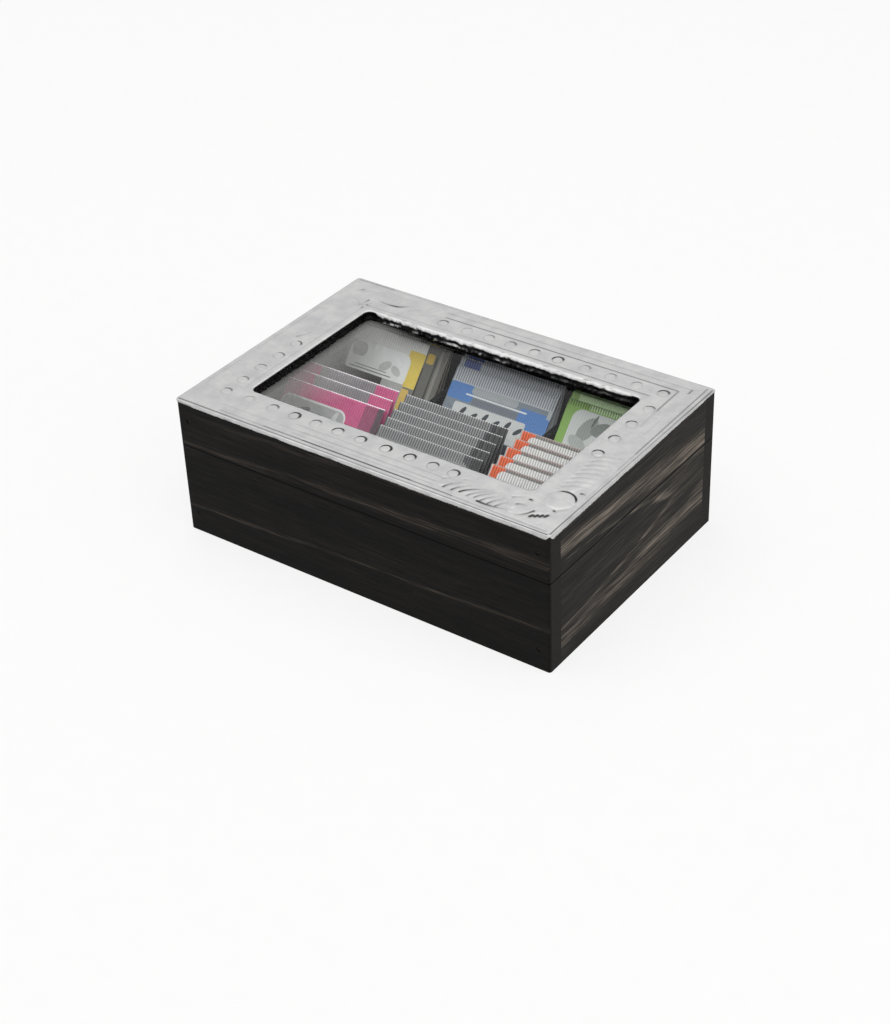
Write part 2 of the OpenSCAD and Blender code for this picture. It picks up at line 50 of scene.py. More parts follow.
wood_low, wood_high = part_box("base_front_board")
lid_low, lid_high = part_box("lid_front_board")
divider_low, divider_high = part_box("long_divider")
column_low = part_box("cross_divider_left")[1]
column_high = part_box("cross_divider_right")[0]
BOX_W = (wood_high.x - wood_low.x) / MM
BOX_D = (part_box("lid_back_board")[1].y - wood_low.y) / MM
BOX_H = lid_high.z / MM
BOARD_T = (wood_high.y - wood_low.y) / MM
SEAM_Z = (wood_high.z + lid_low.z) / 2 / MM
FLOOR_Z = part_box("bottom_panel")[1].z / MM
INNER_D = BOX_D - 2 * BOARD_T
DIVIDER_TOP = divider_high.z / MM
DIVIDER_T = (divider_high.y - divider_low.y) / MM
COLUMN = (column_high.x - column_low.x) / MM + DIVIDER_T
STRIP_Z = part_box("glass_retainer_front")[0].z / MM


# Camera, at the place from which the photograph was taken

CAMERA_AT = Vector((0.56554, -0.75783, 0.65448))
CAMERA_RIGHT = Vector((0.81347, 0.58057, -0.03464))
CAMERA_UP = Vector((-0.30488, 0.47640, 0.82468))
CAMERA_BACK = Vector((0.49528, -0.66029, 0.56454))
LENS_MM = 72.31
SENSOR_MM = 36


def make_camera():
    data = bpy.data.cameras.new("camera")
    data.lens = LENS_MM
    data.sensor_width = SENSOR_MM
    camera = bpy.data.objects.new("camera", data)
    turn = Matrix((CAMERA_RIGHT, CAMERA_UP, CAMERA_BACK)).transposed()
    camera.matrix_world = Matrix.Translation(CAMERA_AT) @ turn.to_4x4()
    scene.collection.objects.link(camera)
    scene.camera = camera
    scene.view_settings.view_transform = "Standard"


# Nodes and colours

BLACK = [0, 0, 0, 1]
WHITE = [1, 1, 1, 1]


def linear(code):
    """Linear colour of an sRGB hex code."""
    parts = [int(code[i:i + 2], 16) / 255 for i in (1, 3, 5)]
    return [c / 12.92 if c <= 0.04045 else ((c + 0.055) / 1.055) ** 2.4 for c in parts] + [1.0]


def grey(share):
    return [share] * 3 + [1]


def add(tree, kind, inputs=None, stops=(), **settings):
    """Adds a node. An input takes a value, a socket or a node, whose first output in use is then linked.
    Stops are the places and colours of a colour ramp."""
    made = tree.nodes.new(kind)
    for name, value in settings.items():
        setattr(made, name, value)
    for i, (place, colour) in enumerate(stops):
        element = made.color_ramp.elements[i] if i < 2 else made.color_ramp.elements.new(place)
        element.position = place
        element.color = colour
    for key, value in (inputs or {}).items():
        if isinstance(value, bpy.types.Node):
            value = next(output for output in value.outputs if output.enabled)
        if isinstance(value, bpy.types.NodeSocket):
            tree.links.new(value, made.inputs[key])
        else:
            made.inputs[key].default_value = value
    return made


def new_material(name):
    """An empty material and its tree."""
    material = bpy.data.materials.new(name)
    material.use_nodes = True
    tree = material.node_tree
    tree.nodes.clear()
    return material, tree


def finished(material, shader):
    """Joins the shader to an output node."""
    add(material.node_tree, "ShaderNodeOutputMaterial", {0: shader})
    return material


def in_mm(tree, stretch=(1, 1, 1), turn=(0, 0, 0), shift=0.0):
    """Object coordinates in millimetres, turned by some degrees. A pattern is stretched along each axis
    by its number."""
    at = add(tree, "ShaderNodeTexCoord").outputs["Object"]
    angles = [math.radians(angle) for angle in turn]
    turned = add(tree, "ShaderNodeMapping", {0: at, 2: angles, 3: (1 / MM, 1 / MM, 1 / MM)})
    squeeze = [1 / times for times in stretch]
    return add(tree, "ShaderNodeMapping", {0: turned, 1: (shift, shift, shift), 3: squeeze})


# Stained wood

SEAM_SHADE_MM = 0.45
SEAM_SHADE_FADE_MM = 0.3
HEART_Z = 41.5
RING_BEND = 0.25
STREAK_RISE = 0.04
ARCH_REACH = 400.0


def across_the_rings(tree, grain, place, patches):
    """Where each point lies across the grain. Flat sawn side boards have rings that open in a long arch
    from the heart, and the long boards have streaks that rise a little from left to right."""
    if grain == "Y":
        rise = add(tree, "ShaderNodeMath", {0: place.outputs[2], 1: HEART_Z}, operation="SUBTRACT")
        rise = add(tree, "ShaderNodeMath", {0: rise, 1: rise}, operation="MULTIPLY")
        line = {0: rise, 1: RING_BEND, 2: place.outputs[1]}
        wobble_mm = 26.0
    else:
        line = {0: place.outputs[0], 1: -STREAK_RISE, 2: place.outputs[2]}
        wobble_mm = 3.0
    ring = add(tree, "ShaderNodeMath", line, operation="MULTIPLY_ADD")
    wobble = add(tree, "ShaderNodeMath", {0: patches, 1: 0.5}, operation="SUBTRACT")
    return add(tree, "ShaderNodeMath", {0: wobble, 1: 2 * wobble_mm, 2: ring}, operation="MULTIPLY_ADD")


def dark_ends_and_seam_shade(tree, grain, place, colour):
    """Cut ends drink more stain and are darker. Along the line where the closed box was sawn into base and
    lid, a narrow near-black band is painted shade that stands for the shadow in the seam."""
    facing = add(tree, "ShaderNodeSeparateXYZ", {0: add(tree, "ShaderNodeTexCoord").outputs["Normal"]})
    end = add(tree, "ShaderNodeMath", {0: facing.outputs["XYZ".index(grain)]}, operation="ABSOLUTE")
    end = add(tree, "ShaderNodeMapRange", {0: end, 1: 0.6, 2: 0.9})
    colour = add(tree, "ShaderNodeMix", {0: end, 6: colour, 7: linear("#151312")}, data_type="RGBA")
    # Painted shade: a near-black band either side of the seam stands for the shadow in the saw cut between
    # base and lid.
    from_seam = add(tree, "ShaderNodeMath", {0: place.outputs[2], 1: SEAM_Z}, operation="SUBTRACT")
    from_seam = add(tree, "ShaderNodeMath", {0: from_seam}, operation="ABSOLUTE")
    painted_shade = add(tree, "ShaderNodeMapRange", {
        0: from_seam, 1: SEAM_SHADE_MM, 2: SEAM_SHADE_MM + SEAM_SHADE_FADE_MM, 3: 0.97, 4: 0.0})
    return add(tree, "ShaderNodeMix", {0: painted_shade, 6: colour, 7: linear("#020202")}, data_type="RGBA")


def stained_pine(name, grain, rings, dark, light, shift=0.0):
    """Sawn pine under a thin black stain. Rings are places across the grain and how far the stain has been
    rubbed off there. Fine threads of wood and open pores give the surface its tooth."""
    material, tree = new_material("stained_pine_" + name)
    thread_mm = 0.9
    thread_length = 45
    patch_mm = 7.0
    patch_length = 9
    fine_at = in_mm(tree, [thread_length if axis == grain else 1 for axis in "XYZ"], shift=shift)
    patch_at = in_mm(tree, [patch_length if axis == grain else 1 for axis in "XYZ"], shift=shift)
    threads = add(tree, "ShaderNodeTexNoise", {
        "Vector": fine_at, "Scale": 1 / thread_mm, "Detail": 5, "Roughness": 0.6})
    patches = add(tree, "ShaderNodeTexNoise", {
        "Vector": patch_at, "Scale": 1 / patch_mm, "Detail": 4, "Roughness": 0.6})
    place = add(tree, "ShaderNodeSeparateXYZ", {0: in_mm(tree)})
    reach = ARCH_REACH if grain == "Y" else BOX_H
    ring = across_the_rings(tree, grain, place, patches)
    ring = add(tree, "ShaderNodeMath", {0: ring, 1: reach}, operation="DIVIDE")
    stops = [(at / reach, grey(share)) for at, share in rings]
    bare = add(tree, "ShaderNodeValToRGB", {0: ring}, stops=stops)
    fine = add(tree, "ShaderNodeMapRange", {0: threads, 1: 0.4, 2: 0.62, 3: 0.12, 4: 1.15})
    uneven = add(tree, "ShaderNodeMapRange", {0: patches, 1: 0.36, 2: 0.6, 3: 0.25, 4: 1.0})
    worn = add(tree, "ShaderNodeMath", {0: bare, 1: fine}, operation="MULTIPLY")
    worn = add(tree, "ShaderNodeMath", {0: worn, 1: uneven}, operation="MULTIPLY")
    colour = add(tree, "ShaderNodeMix", {0: worn, 6: linear(dark), 7: linear(light)}, data_type="RGBA")
    pores = add(tree, "ShaderNodeTexNoise", {"Vector": fine_at, "Scale": 2.6 / thread_mm, "Detail": 4})
    pits = add(tree, "ShaderNodeValToRGB", {0: pores}, stops=[(0.38, grey(0.35)), (0.56, WHITE)])
    colour = add(tree, "ShaderNodeMix", {0: 1, 6: colour, 7: pits}, data_type="RGBA", blend_type="MULTIPLY")
    colour = dark_ends_and_seam_shade(tree, grain, place, colour)
    relief = add(tree, "ShaderNodeMath", {0: threads, 1: 0.5, 2: pores}, operation="MULTIPLY_ADD")
    bump = add(tree, "ShaderNodeBump", {"Height": relief, "Strength": 0.45, "Distance": 0.25 * MM})
    shader = add(tree, "ShaderNodeBsdfPrincipled", {
        "Base Color": colour, "Roughness": 0.6, "Specular IOR Level": 0.08, "Normal": bump})
    return finished(material, shader)


# Metals

def embossed_aluminium():
    """Thin aluminium sheet, embossed by hand and rubbed bright in one direction. It mirrors softly, and
    dark tarnish stays in the grooves. The same darkening paints shade in crescents against the raised work,
    and shade and dark reflections on the hem inside the window."""
    material, tree = new_material("embossed_aluminium")
    drag_mm = 0.7
    dent_mm = 8.0
    along = in_mm(tree, stretch=(34, 1, 1), turn=(0, 0, 8))
    even = in_mm(tree)
    drag = add(tree, "ShaderNodeTexNoise", {"Vector": along, "Scale": 1 / drag_mm, "Detail": 3})
    dents = add(tree, "ShaderNodeTexNoise", {"Vector": even, "Scale": 1 / dent_mm, "Detail": 2})
    tarnish_and_shade = add(tree, "ShaderNodeAttribute", attribute_name="tarnish_and_shade").outputs["Fac"]
    cloudy = add(tree, "ShaderNodeValToRGB", {0: dents}, stops=[
        (0.3, linear("#BABABB")), (0.7, linear("#C9C9C8"))])
    drawn = add(tree, "ShaderNodeValToRGB", {0: drag}, stops=[(0.3, grey(0.95)), (0.7, WHITE)])
    crisp = add(tree, "ShaderNodeValToRGB", {0: tarnish_and_shade}, stops=[
        (0, BLACK), (0.25, grey(0.22)), (0.6, grey(0.85)), (1, WHITE)])
    colour = add(tree, "ShaderNodeMix", {0: 1, 6: cloudy, 7: drawn}, data_type="RGBA", blend_type="MULTIPLY")
    # The attribute darkens towards near black: tarnish in grooves, painted shade in the dot crescents and on
    # the window hem.
    colour = add(tree, "ShaderNodeMix", {0: crisp, 6: colour, 7: linear("#0C0C0E")}, data_type="RGBA")
    rough = add(tree, "ShaderNodeMapRange", {0: tarnish_and_shade, 3: 0.24, 4: 0.5})
    relief = add(tree, "ShaderNodeMath", {0: dents, 1: 1.4, 2: drag}, operation="MULTIPLY_ADD")
    bump = add(tree, "ShaderNodeBump", {"Height": relief, "Strength": 0.18, "Distance": 0.05 * MM})
    shader = add(tree, "ShaderNodeBsdfPrincipled", {
        "Base Color": colour, "Metallic": 1, "Roughness": rough, "Normal": bump})
    return finished(material, shader)


def drawn_steel():
    """Drawn steel brads, dulled brown and grey."""
    material, tree = new_material("drawn_steel_brads")
    rust_mm = 0.8
    spots = add(tree, "ShaderNodeTexNoise", {
        "Vector": in_mm(tree), "Scale": 1 / rust_mm, "Detail": 4})
    colour = add(tree, "ShaderNodeValToRGB", {0: spots}, stops=[
        (0.4, linear("#171513")), (0.62, linear("#2E2A27"))])
    bump = add(tree, "ShaderNodeBump", {"Height": spots, "Strength": 0.4, "Distance": 0.05 * MM})
    shader = add(tree, "ShaderNodeBsdfPrincipled", {
        "Base Color": colour, "Metallic": 1, "Roughness": 0.55, "Normal": bump})
    return finished(material, shader)


def plated_brass():
    """Pressed hinges of brass-plated steel, dulled in soft spots, with a faint grain along the leaf."""
    material, tree = new_material("brass_plated_steel")
    spot_mm = 3.5
    grain_mm = 0.4
    spots = add(tree, "ShaderNodeTexNoise", {
        "Vector": in_mm(tree), "Scale": 1 / spot_mm, "Detail": 4})
    along = in_mm(tree, stretch=(20, 1, 1))
    grain = add(tree, "ShaderNodeTexNoise", {"Vector": along, "Scale": 1 / grain_mm, "Detail": 2})
    colour = add(tree, "ShaderNodeValToRGB", {0: spots}, stops=[
        (0.35, linear("#9C7C45")), (0.6, linear("#CBAA68"))])
    rough = add(tree, "ShaderNodeMapRange", {0: spots, 1: 0.3, 2: 0.7, 3: 0.45, 4: 0.25})
    bump = add(tree, "ShaderNodeBump", {"Height": grain, "Strength": 0.2, "Distance": 0.03 * MM})
    shader = add(tree, "ShaderNodeBsdfPrincipled", {
        "Base Color": colour, "Metallic": 1, "Roughness": rough, "Normal": bump})
    return finished(material, shader)


# Glass

COAT_LEAVES = 0.42
# Painted reflection haze on the left of the glass.
HAZE_SHARE = 0.115
HAZE_FROM_X = -74.0
HAZE_TO_X = -26.0
HAZE_DRIFT_MM = 34.0


def reflection_haze(tree, clean):
    """A painted reflection: a pale grey film, thicker towards the left end, that greys what is under it as
    the glare on that side of the pane does.
    """
    drift_mm = 22.0
    drift = add(tree, "ShaderNodeTexNoise", {
        "Vector": in_mm(tree), "Scale": 1 / drift_mm, "Detail": 3})
    place = add(tree, "ShaderNodeSeparateXYZ", {0: in_mm(tree)})
    reach = add(tree, "ShaderNodeMath", {0: drift, 1: HAZE_DRIFT_MM, 2: place.outputs[0]},
                operation="MULTIPLY_ADD")
    film = add(tree, "ShaderNodeMapRange", {0: reach, 1: HAZE_FROM_X, 2: HAZE_TO_X, 3: HAZE_SHARE, 4: 0.0},
               interpolation_type="SMOOTHSTEP")
    painted_haze = add(tree, "ShaderNodeBsdfDiffuse", {0: linear("#CFCFCC")})
    return add(tree, "ShaderNodeMixShader", {0: film, 1: clean, 2: painted_haze})


def picture_glass():
    """Clear picture glass, coated against glare. What the coat leaves of the reflection is sharp and grows
    towards a flat angle, and the pane waves slowly. The rest goes straight through."""
    material, tree = new_material("coated_picture_glass")
    wave_mm = 60.0
    wave = add(tree, "ShaderNodeTexNoise", {
        "Vector": in_mm(tree), "Scale": 1 / wave_mm, "Detail": 1})
    bump = add(tree, "ShaderNodeBump", {"Height": wave, "Strength": 0.2, "Distance": 0.3 * MM})
    through = add(tree, "ShaderNodeBsdfTransparent", {0: linear("#FBFCFC")})
    shine = add(tree, "ShaderNodeBsdfGlossy", {"Roughness": 0.02, "Normal": bump})
    fresnel = add(tree, "ShaderNodeFresnel", {"IOR": 1.5})
    back = add(tree, "ShaderNodeNewGeometry").outputs["Backfacing"]
    outside = add(tree, "ShaderNodeMath", {0: COAT_LEAVES, 1: back}, operation="SUBTRACT", use_clamp=True)
    share = add(tree, "ShaderNodeMath", {0: fresnel, 1: outside}, operation="MULTIPLY")
    clean = add(tree, "ShaderNodeMixShader", {0: share, 1: through, 2: shine})
    return finished(material, reflection_haze(tree, clean))


# Printed sachet film. Places on a sachet are in millimetres from the middle of its foot.

SACHET_W = 68.0
SACHET_L = 80.0
CRIMP_L = 8.0
CRIMP_T = 0.6
RIB_MM = 1.58
PRINT_MM = 100.0


def patch_mask(tree, place, left, right, low, high, corner, soft=0.15):
    """One inside a rectangle with round corners, nought outside."""
    centre = ((left + right) / 2, (low + high) / 2, 0)
    half = ((right - left) / 2 - corner, (high - low) / 2 - corner, 10)
    away = add(tree, "ShaderNodeVectorMath", {0: place, 1: centre}, operation="SUBTRACT")
    away = add(tree, "ShaderNodeVectorMath", {0: away}, operation="ABSOLUTE")
    away = add(tree, "ShaderNodeVectorMath", {0: away, 1: half}, operation="SUBTRACT")
    away = add(tree, "ShaderNodeVectorMath", {0: away, 1: (0, 0, 0)}, operation="MAXIMUM")
    away = add(tree, "ShaderNodeVectorMath", {0: away}, operation="LENGTH")
    return add(tree, "ShaderNodeMapRange", {0: away.outputs["Value"], 1: corner + soft, 2: corner - soft})


def leaf_mask(tree, place, middle, length, width, turn):
    """One inside an oval leaf, nought outside."""
    moved = add(tree, "ShaderNodeVectorMath", {0: place, 1: (*middle, 0)}, operation="SUBTRACT")
    turned = add(tree, "ShaderNodeMapping", {0: moved, 2: (0, 0, math.radians(-turn))}, vector_type="POINT")
    scaled = add(tree, "ShaderNodeVectorMath", {0: turned, 1: (2 / length, 2 / width, 0)},
                 operation="MULTIPLY")
    away = add(tree, "ShaderNodeVectorMath", {0: scaled}, operation="LENGTH")
    return add(tree, "ShaderNodeMapRange", {0: away.outputs["Value"], 1: 1.06, 2: 0.94})


def printed_film_and_painted_shade(name, ground, patches, leaves=(), rib_shade_from=71.5, painted_rib_shade=0.4, edge="#BDBDBB"):
    """Paper and film laminate. The film gives a soft gloss over flat ink, the seals are pressed into ribs
    whose light and dark lines are painted shade and highlight, and the cut edges show pale paper, made
    bright enough to stand for the highlight along them too."""
    material, tree = new_material(name)
    uv = add(tree, "ShaderNodeUVMap", uv_map="print")
    place = add(tree, "ShaderNodeVectorMath", {0: uv, 1: (PRINT_MM, PRINT_MM, 0)}, operation="MULTIPLY")
    colour = linear(ground)
    masks = [(code, patch_mask(tree, place, *edges)) for code, *edges in patches]
    masks += [(code, leaf_mask(tree, place, *leaf)) for code, *leaf in leaves]
    for code, mask in masks:
        colour = add(tree, "ShaderNodeMix", {0: mask, 6: colour, 7: linear(code)}, data_type="RGBA")
    # The cut edges take the edge colour: pale paper, made light enough to stand for the highlight along them
    # as well.
    uncut = patch_mask(tree, place, -SACHET_W, SACHET_W, 0.4, SACHET_L - 0.45, 0.1, 0.1)
    colour = add(tree, "ShaderNodeMix", {0: uncut, 6: linear(edge), 7: colour}, data_type="RGBA")
    # Painted shade and highlight: across the seals the colour is darkened and lifted in lines at the rib
    # pitch.
    across = add(tree, "ShaderNodeSeparateXYZ", {0: place})
    turn = add(tree, "ShaderNodeMath", {0: across.outputs[0], 1: 2 * math.pi / RIB_MM}, operation="MULTIPLY")
    wave = add(tree, "ShaderNodeMath", {0: turn}, operation="SINE")
    shade = add(tree, "ShaderNodeMapRange", {0: wave, 1: -0.8, 2: 0.8, 3: painted_rib_shade, 4: 1.12})
    plain = patch_mask(tree, place, -SACHET_W, SACHET_W, CRIMP_L, rib_shade_from, 0.2, 0.3)
    ribs = add(tree, "ShaderNodeMix", {0: plain, 6: shade, 7: WHITE}, data_type="RGBA")
    colour = add(tree, "ShaderNodeMix", {0: 1, 6: colour, 7: ribs}, data_type="RGBA", blend_type="MULTIPLY")
    crease_mm = 9.0
    creases = add(tree, "ShaderNodeTexNoise", {
        "Vector": in_mm(tree), "Scale": 1 / crease_mm, "Detail": 2, "Distortion": 1.2})
    bump = add(tree, "ShaderNodeBump", {"Height": creases, "Strength": 0.4, "Distance": 1.2 * MM})
    shader = add(tree, "ShaderNodeBsdfPrincipled", {
        "Base Color": colour, "Roughness": 0.42, "Specular IOR Level": 0.3, "Normal": bump})
    return finished(material, shader)


# Meshes

def mesh_object(name, points, faces, material, smooth=True):
    """A piece from points in millimetres."""
    mesh = bpy.data.meshes.new(name)
    mesh.from_pydata((np.asarray(points) * MM).tolist(), [], faces)
    mesh.materials.append(material)
    mesh.polygons.foreach_set("use_smooth", [smooth] * len(mesh.polygons))
    mesh.update()
    piece = bpy.data.objects.new(name, mesh)
    scene.collection.objects.link(piece)
    return piece


def soft_step(low, high, value):
    """Rises smoothly from nought at low to one at high."""
    share = np.clip((value - low) / (high - low), 0, 1)
    return share * share * (3 - 2 * share)


def waves(x, y, seed, shortest, longest, count=26):
    """Smooth uneven swell with a height of about one, made of waves that cross at all angles."""
    rng = np.random.default_rng(seed)
    total = np.zeros_like(x)
    for _ in range(count):
        length = rng.uniform(shortest, longest)
        angle = rng.uniform(0, math.pi)
        phase = rng.uniform(0, 2 * math.pi)
        total += np.sin((x * math.cos(angle) + y * math.sin(angle)) * 2 * math.pi / length + phase)
    return total / math.sqrt(count)


# Embossing of the sheet. Places are in millimetres in the plan of the box. A row of dots has the place and
# the stain of each along the row, which also sets its crescent of painted shade, and a stroke ends with its
# stain.

DOT_R = 3.2
DOT_H = 0.12
FRONT_ROW_Y = -60.6
LEFT_ROW_X = -102.1
BACK_ROW_Y = 62.6
RIGHT_ROW_X = 100.4
FRONT_DOTS = [
    (-101.9, 0.6), (-85.7, 0.4), (-69.2, 0.7), (-54.3, 0.95), (-40.1, 0.65), (-25.2, 0.9), (-10.4, 0.9),
    (6, 1), (21.5, 1), (36, 0.75), (48.9, 0.85),
]
LEFT_DOTS = [(-46.4, 0.5), (-31, 0.5), (-15.6, 0.55), (-0.2, 0.6)]
BACK_DOTS = [
    (-45.7, 0.65), (-29, 0.35), (-14.2, 0.5), (0.4, 0.6), (16.5, 0.7), (31.8, 1), (49.2, 0.5),
    (65.7, 0.5), (82.2, 0.5), (98.6, 0.9),
]
RIGHT_DOTS = [(44.8, 0.6), (27.3, 0.7), (10.5, 0.75), (-5.9, 0.85)]


def curve_distance(x, y, start, middle, end):
    """Distance of each point from a curve, and how far along the curve the nearest place is."""
    steps = np.linspace(0, 1, 17)[:, None]
    start, middle, end = (np.array(p, float) for p in (start, middle, end))
    path = (1 - steps) ** 2 * start + 2 * steps * (1 - steps) * middle + steps ** 2 * end
    best = np.full(x.shape, 1e9)
    along = np.zeros(x.shape)
    for i in range(len(path) - 1):
        side = path[i + 1] - path[i]
        share = ((x - path[i][0]) * side[0] + (y - path[i][1]) * side[1]) / side.dot(side)
        share = np.clip(share, 0, 1)
        gap = np.hypot(x - path[i][0] - share * side[0], y - path[i][1] - share * side[1])
        closer = gap < best
        best = np.where(closer, gap, best)
        along = np.where(closer, (i + share) / (len(path) - 1), along)
    return best, along


class Relief:
    """Height and darkening of the sheet at many points: tarnish in the grooves and painted shade in the
    crescents.
    """

    def __init__(self, x, y):
        self.x, self.y = x, y
        self.height = np.zeros_like(x)
        self.tarnish_and_shade = np.zeros_like(x)

    def near(self, points, reach):
        """Which points lie near some given ones."""
        xs, ys = zip(*points)
        inside = (self.x > min(xs) - reach) & (self.x < max(xs) + reach)
        return np.nonzero(inside & (self.y > min(ys) - reach) & (self.y < max(ys) + reach))[0]

    def groove(self, start, middle, end, depth, width, stain_and_shade, tip=1.0):
        """A line pressed in with a blunt point. At its end it keeps the share tip of its depth."""
        at = self.near((start, middle, end), 4 * width + 1)
        if not len(at):
            return
        gap, along = curve_distance(self.x[at], self.y[at], start, middle, end)
        mark = np.exp(-(gap / width) ** 2) * (1 - (1 - tip) * along)
        self.height[at] -= depth * mark
        self.tarnish_and_shade[at] = np.maximum(self.tarnish_and_shade[at], stain_and_shade * mark)

    def boss(self, centre, radius, height, stain_and_shade, shade_from, half_angle, ring, width=0.62):
        """A flat disc pressed up from behind. Round the side that shade_from names in degrees lies a
        crescent of painted shade; the share ring of that darkness is tarnish, all the way round."""
        at = self.near([centre], radius + 2.5)
        dx, dy = self.x[at] - centre[0], self.y[at] - centre[1]
        gap = np.hypot(dx, dy)
        self.height[at] += height * np.clip(1 - (gap / radius) ** 2, 0, 1) ** 0.35
        self.height[at] -= 0.05 * np.exp(-((gap - radius - 0.35) / 0.5) ** 2)
        turn = np.abs((np.degrees(np.arctan2(dy, dx)) - shade_from + 180) % 360 - 180)
        side = 1 - soft_step(0.55 * half_angle, 1.15 * half_angle, turn)
        reach = width * (0.6 + 0.5 * side)
        mark = np.exp(-np.abs((gap - radius + 0.1) / reach) ** 4)
        # The darkness on the crescent side is painted shade; the ring share all round is tarnish.
        self.tarnish_and_shade[at] = np.maximum(self.tarnish_and_shade[at], mark * (ring + (stain_and_shade - ring) * side))

    def swell(self, start, middle, end, half_width, height):
        """A raised leaf along a curve, widest in its middle."""
        at = self.near((start, middle, end), half_width + 2)
        gap, along = curve_distance(self.x[at], self.y[at], start, middle, end)
        reach = half_width * np.sin(np.pi * np.clip(along, 0.06, 0.94)) ** 0.6
        self.height[at] += height * (1 - soft_step(0.3, 1.0, gap / reach))


LEAF_STROKES = [
    ((47, -67), (49.5, -64.6), (53, -64.4), 0.25), ((51.5, -73.2), (52.5, -69), (57.5, -65.6), 0.45),
    ((56.5, -73.2), (58, -68.8), (63, -65.2), 0.45), ((61, -72.4), (64, -67.4), (71.5, -64), 0.6),
    ((66, -73), (68, -68.5), (75, -63), 0.35), ((70, -72.5), (72, -67.8), (79, -62), 0.35),
    ((74, -73.4), (75.5, -69.4), (80, -65), 0.4), ((78.5, -73.6), (79.8, -69.4), (83.5, -65.6), 0.4),
    ((83, -73.6), (83.8, -70.6), (86.5, -67.6), 0.4), ((73, -74.4), (80, -75.4), (89.5, -73), 0.7),
    ((57, -62), (59, -60.8), (62, -61), 0.2), ((86, -62), (87, -60.6), (90.5, -59.8), 0.3),
]
FLOWER_STROKES = [
    ((91, -66.2), (93, -64.6), (95.5, -64.8), 0.35), ((94.6, -59.4), (95.4, -58.8), (96.2, -60), 0.6),
    ((101.6, -66.6), (99.4, -72.6), (95.5, -74), 0.45),
    ((109.8, -61.4), (110.4, -61.4), (111, -61.8), 0.6),
    ((110.4, -61.6), (112, -60.2), (114.4, -56.6), 0.25),
    ((113, -41.6), (114.2, -41), (115, -41.4), 0.5),
]
WORN_MARKS = [
    ((-79.2, 64.4), (-83.6, 63.4), (-88, 64), 0.75), ((-79.2, 64.4), (-76, 65.6), (-73.8, 68), 0.6),
    ((-88, 64), (-91.5, 64.4), (-93.6, 65.8), 0.3),
    ((-108.6, 70.8), (-109.8, 69.8), (-111.4, 68.8), 0.35),
    ((-98.2, 62.2), (-98.4, 60.4), (-98.2, 58.4), 0.45), ((-100.2, 54.8), (-98.4, 55.8), (-97, 57.4), 0.3),
    ((-95.6, 57), (-94.8, 57), (-94, 56.6), 0.5), ((-96.1, 53.4), (-96.1, 52.4), (-96, 51.2), 0.4),
    ((-62.5, 63.2), (-58.5, 64.6), (-54.5, 67.6), 0.12), ((-107, 6.5), (-104.6, 9.5), (-103.2, 14.5), 0.3),
]


def corner_ornament(relief, turned):
    """Feathered leaves, a flower and a disc, in the front right corner or, turned, in the back left one,
    where the work is so shallow that hardly any tarnish has stayed in it, and its painted shade is as faint."""
    sign = -1 if turned else 1
    strength = 0.12 if turned else 1.0
    rise = 0.4 if turned else 1.0
    depth = 0.12 * rise

    def at(*places):
        return [(sign * px, sign * py) for px, py in places]

    def strokes(rows, width, darker, tip):
        for start, middle, end, stain_and_shade in rows:
            relief.groove(*at(start, middle, end), depth=depth, width=width,
                          stain_and_shade=min(1, darker * stain_and_shade) * strength, tip=tip)

    relief.swell(*at((49, -71), (68, -65), (90, -69)), 7, depth)
    relief.swell(*at((107, -42), (110, -24), (106, -6)), 7, depth)
    strokes(LEAF_STROKES, 0.8, 1.5, 0.2)
    feathers = 8
    for i in range(feathers):
        foot = -41 + 4.5 * i
        relief.groove(*at((101.5, foot), (105.5, foot + 4.2), (113, foot + 5.4)), depth=depth, width=0.6,
                      stain_and_shade=0.36 * strength, tip=0.3)
    # The disc and the flower carry only a crescent of painted shade on one side, with no tarnish ring.
    relief.boss(at((107.4, -51.9))[0], 7.9, depth, strength, shade_from=72, half_angle=62, ring=0, width=0.6)
    relief.boss(at((94, -66))[0], 8, 0.07 * rise, stain_and_shade=0.3 * strength, shade_from=-60, half_angle=40,
                ring=0)
    strokes(FLOWER_STROKES, 0.75, 1.7, 0.4)
    punches = 4
    for i in range(punches):
        x, y = at((102.4 + 2.1 * i, -71.6 + 1.2 * i))[0]
        relief.groove((x, y), (x + 0.2, y + 0.8), (x + 0.7, y + 1.7), depth=0.3 * rise, width=0.95,
                      stain_and_shade=strength)


BORDER_RUNS = [
    [(-48, 68.9), (104.4, 68.9, 0.36), (104.6, 46, 0.36), (105, 28, 0.14)],
    [(-50, 73.9), (110, 73.9, 0.18), (110, 69.4, 0.4)], [(110.8, 38), (110.8, 22, 0.1)],
    [(-94, 56.7), (-20, 56.7, 0.16), (93.6, 56.7, 0.32)], [(-96, 50), (-96, -50, 0.14)],
    [(-48, -66.5), (47, -66.2, 0.14)], [(-95, -71.7), (-40, -71.1, 0.1), (45, -70.9, 0.2)],
    [(-45, -74.3), (45, -73.9, 0.12)],
    [(-92, -77.2), (-62, -77.2, 0.2), (-36, -77.2, 0.35), (34, -77.2, 0.5), (60, -77.4, 0.35),
     (116, -78.1, 0.22)],
    [(-119, -79.8), (119, -80.3, 0.4)], [(116.2, 79), (116.9, 4, 0.32), (117, -14, 0.2), (117.2, -44, 0.1)],
    [(119.1, 79), (119.1, -79, 0.38)], [(-118, 79.6), (-92, 79.6, 0.28), (-50, 79.6, 0.16), (40, 79.6, 0.1)],
    [(-117.4, 40), (-117.4, -60, 0.1)],
]


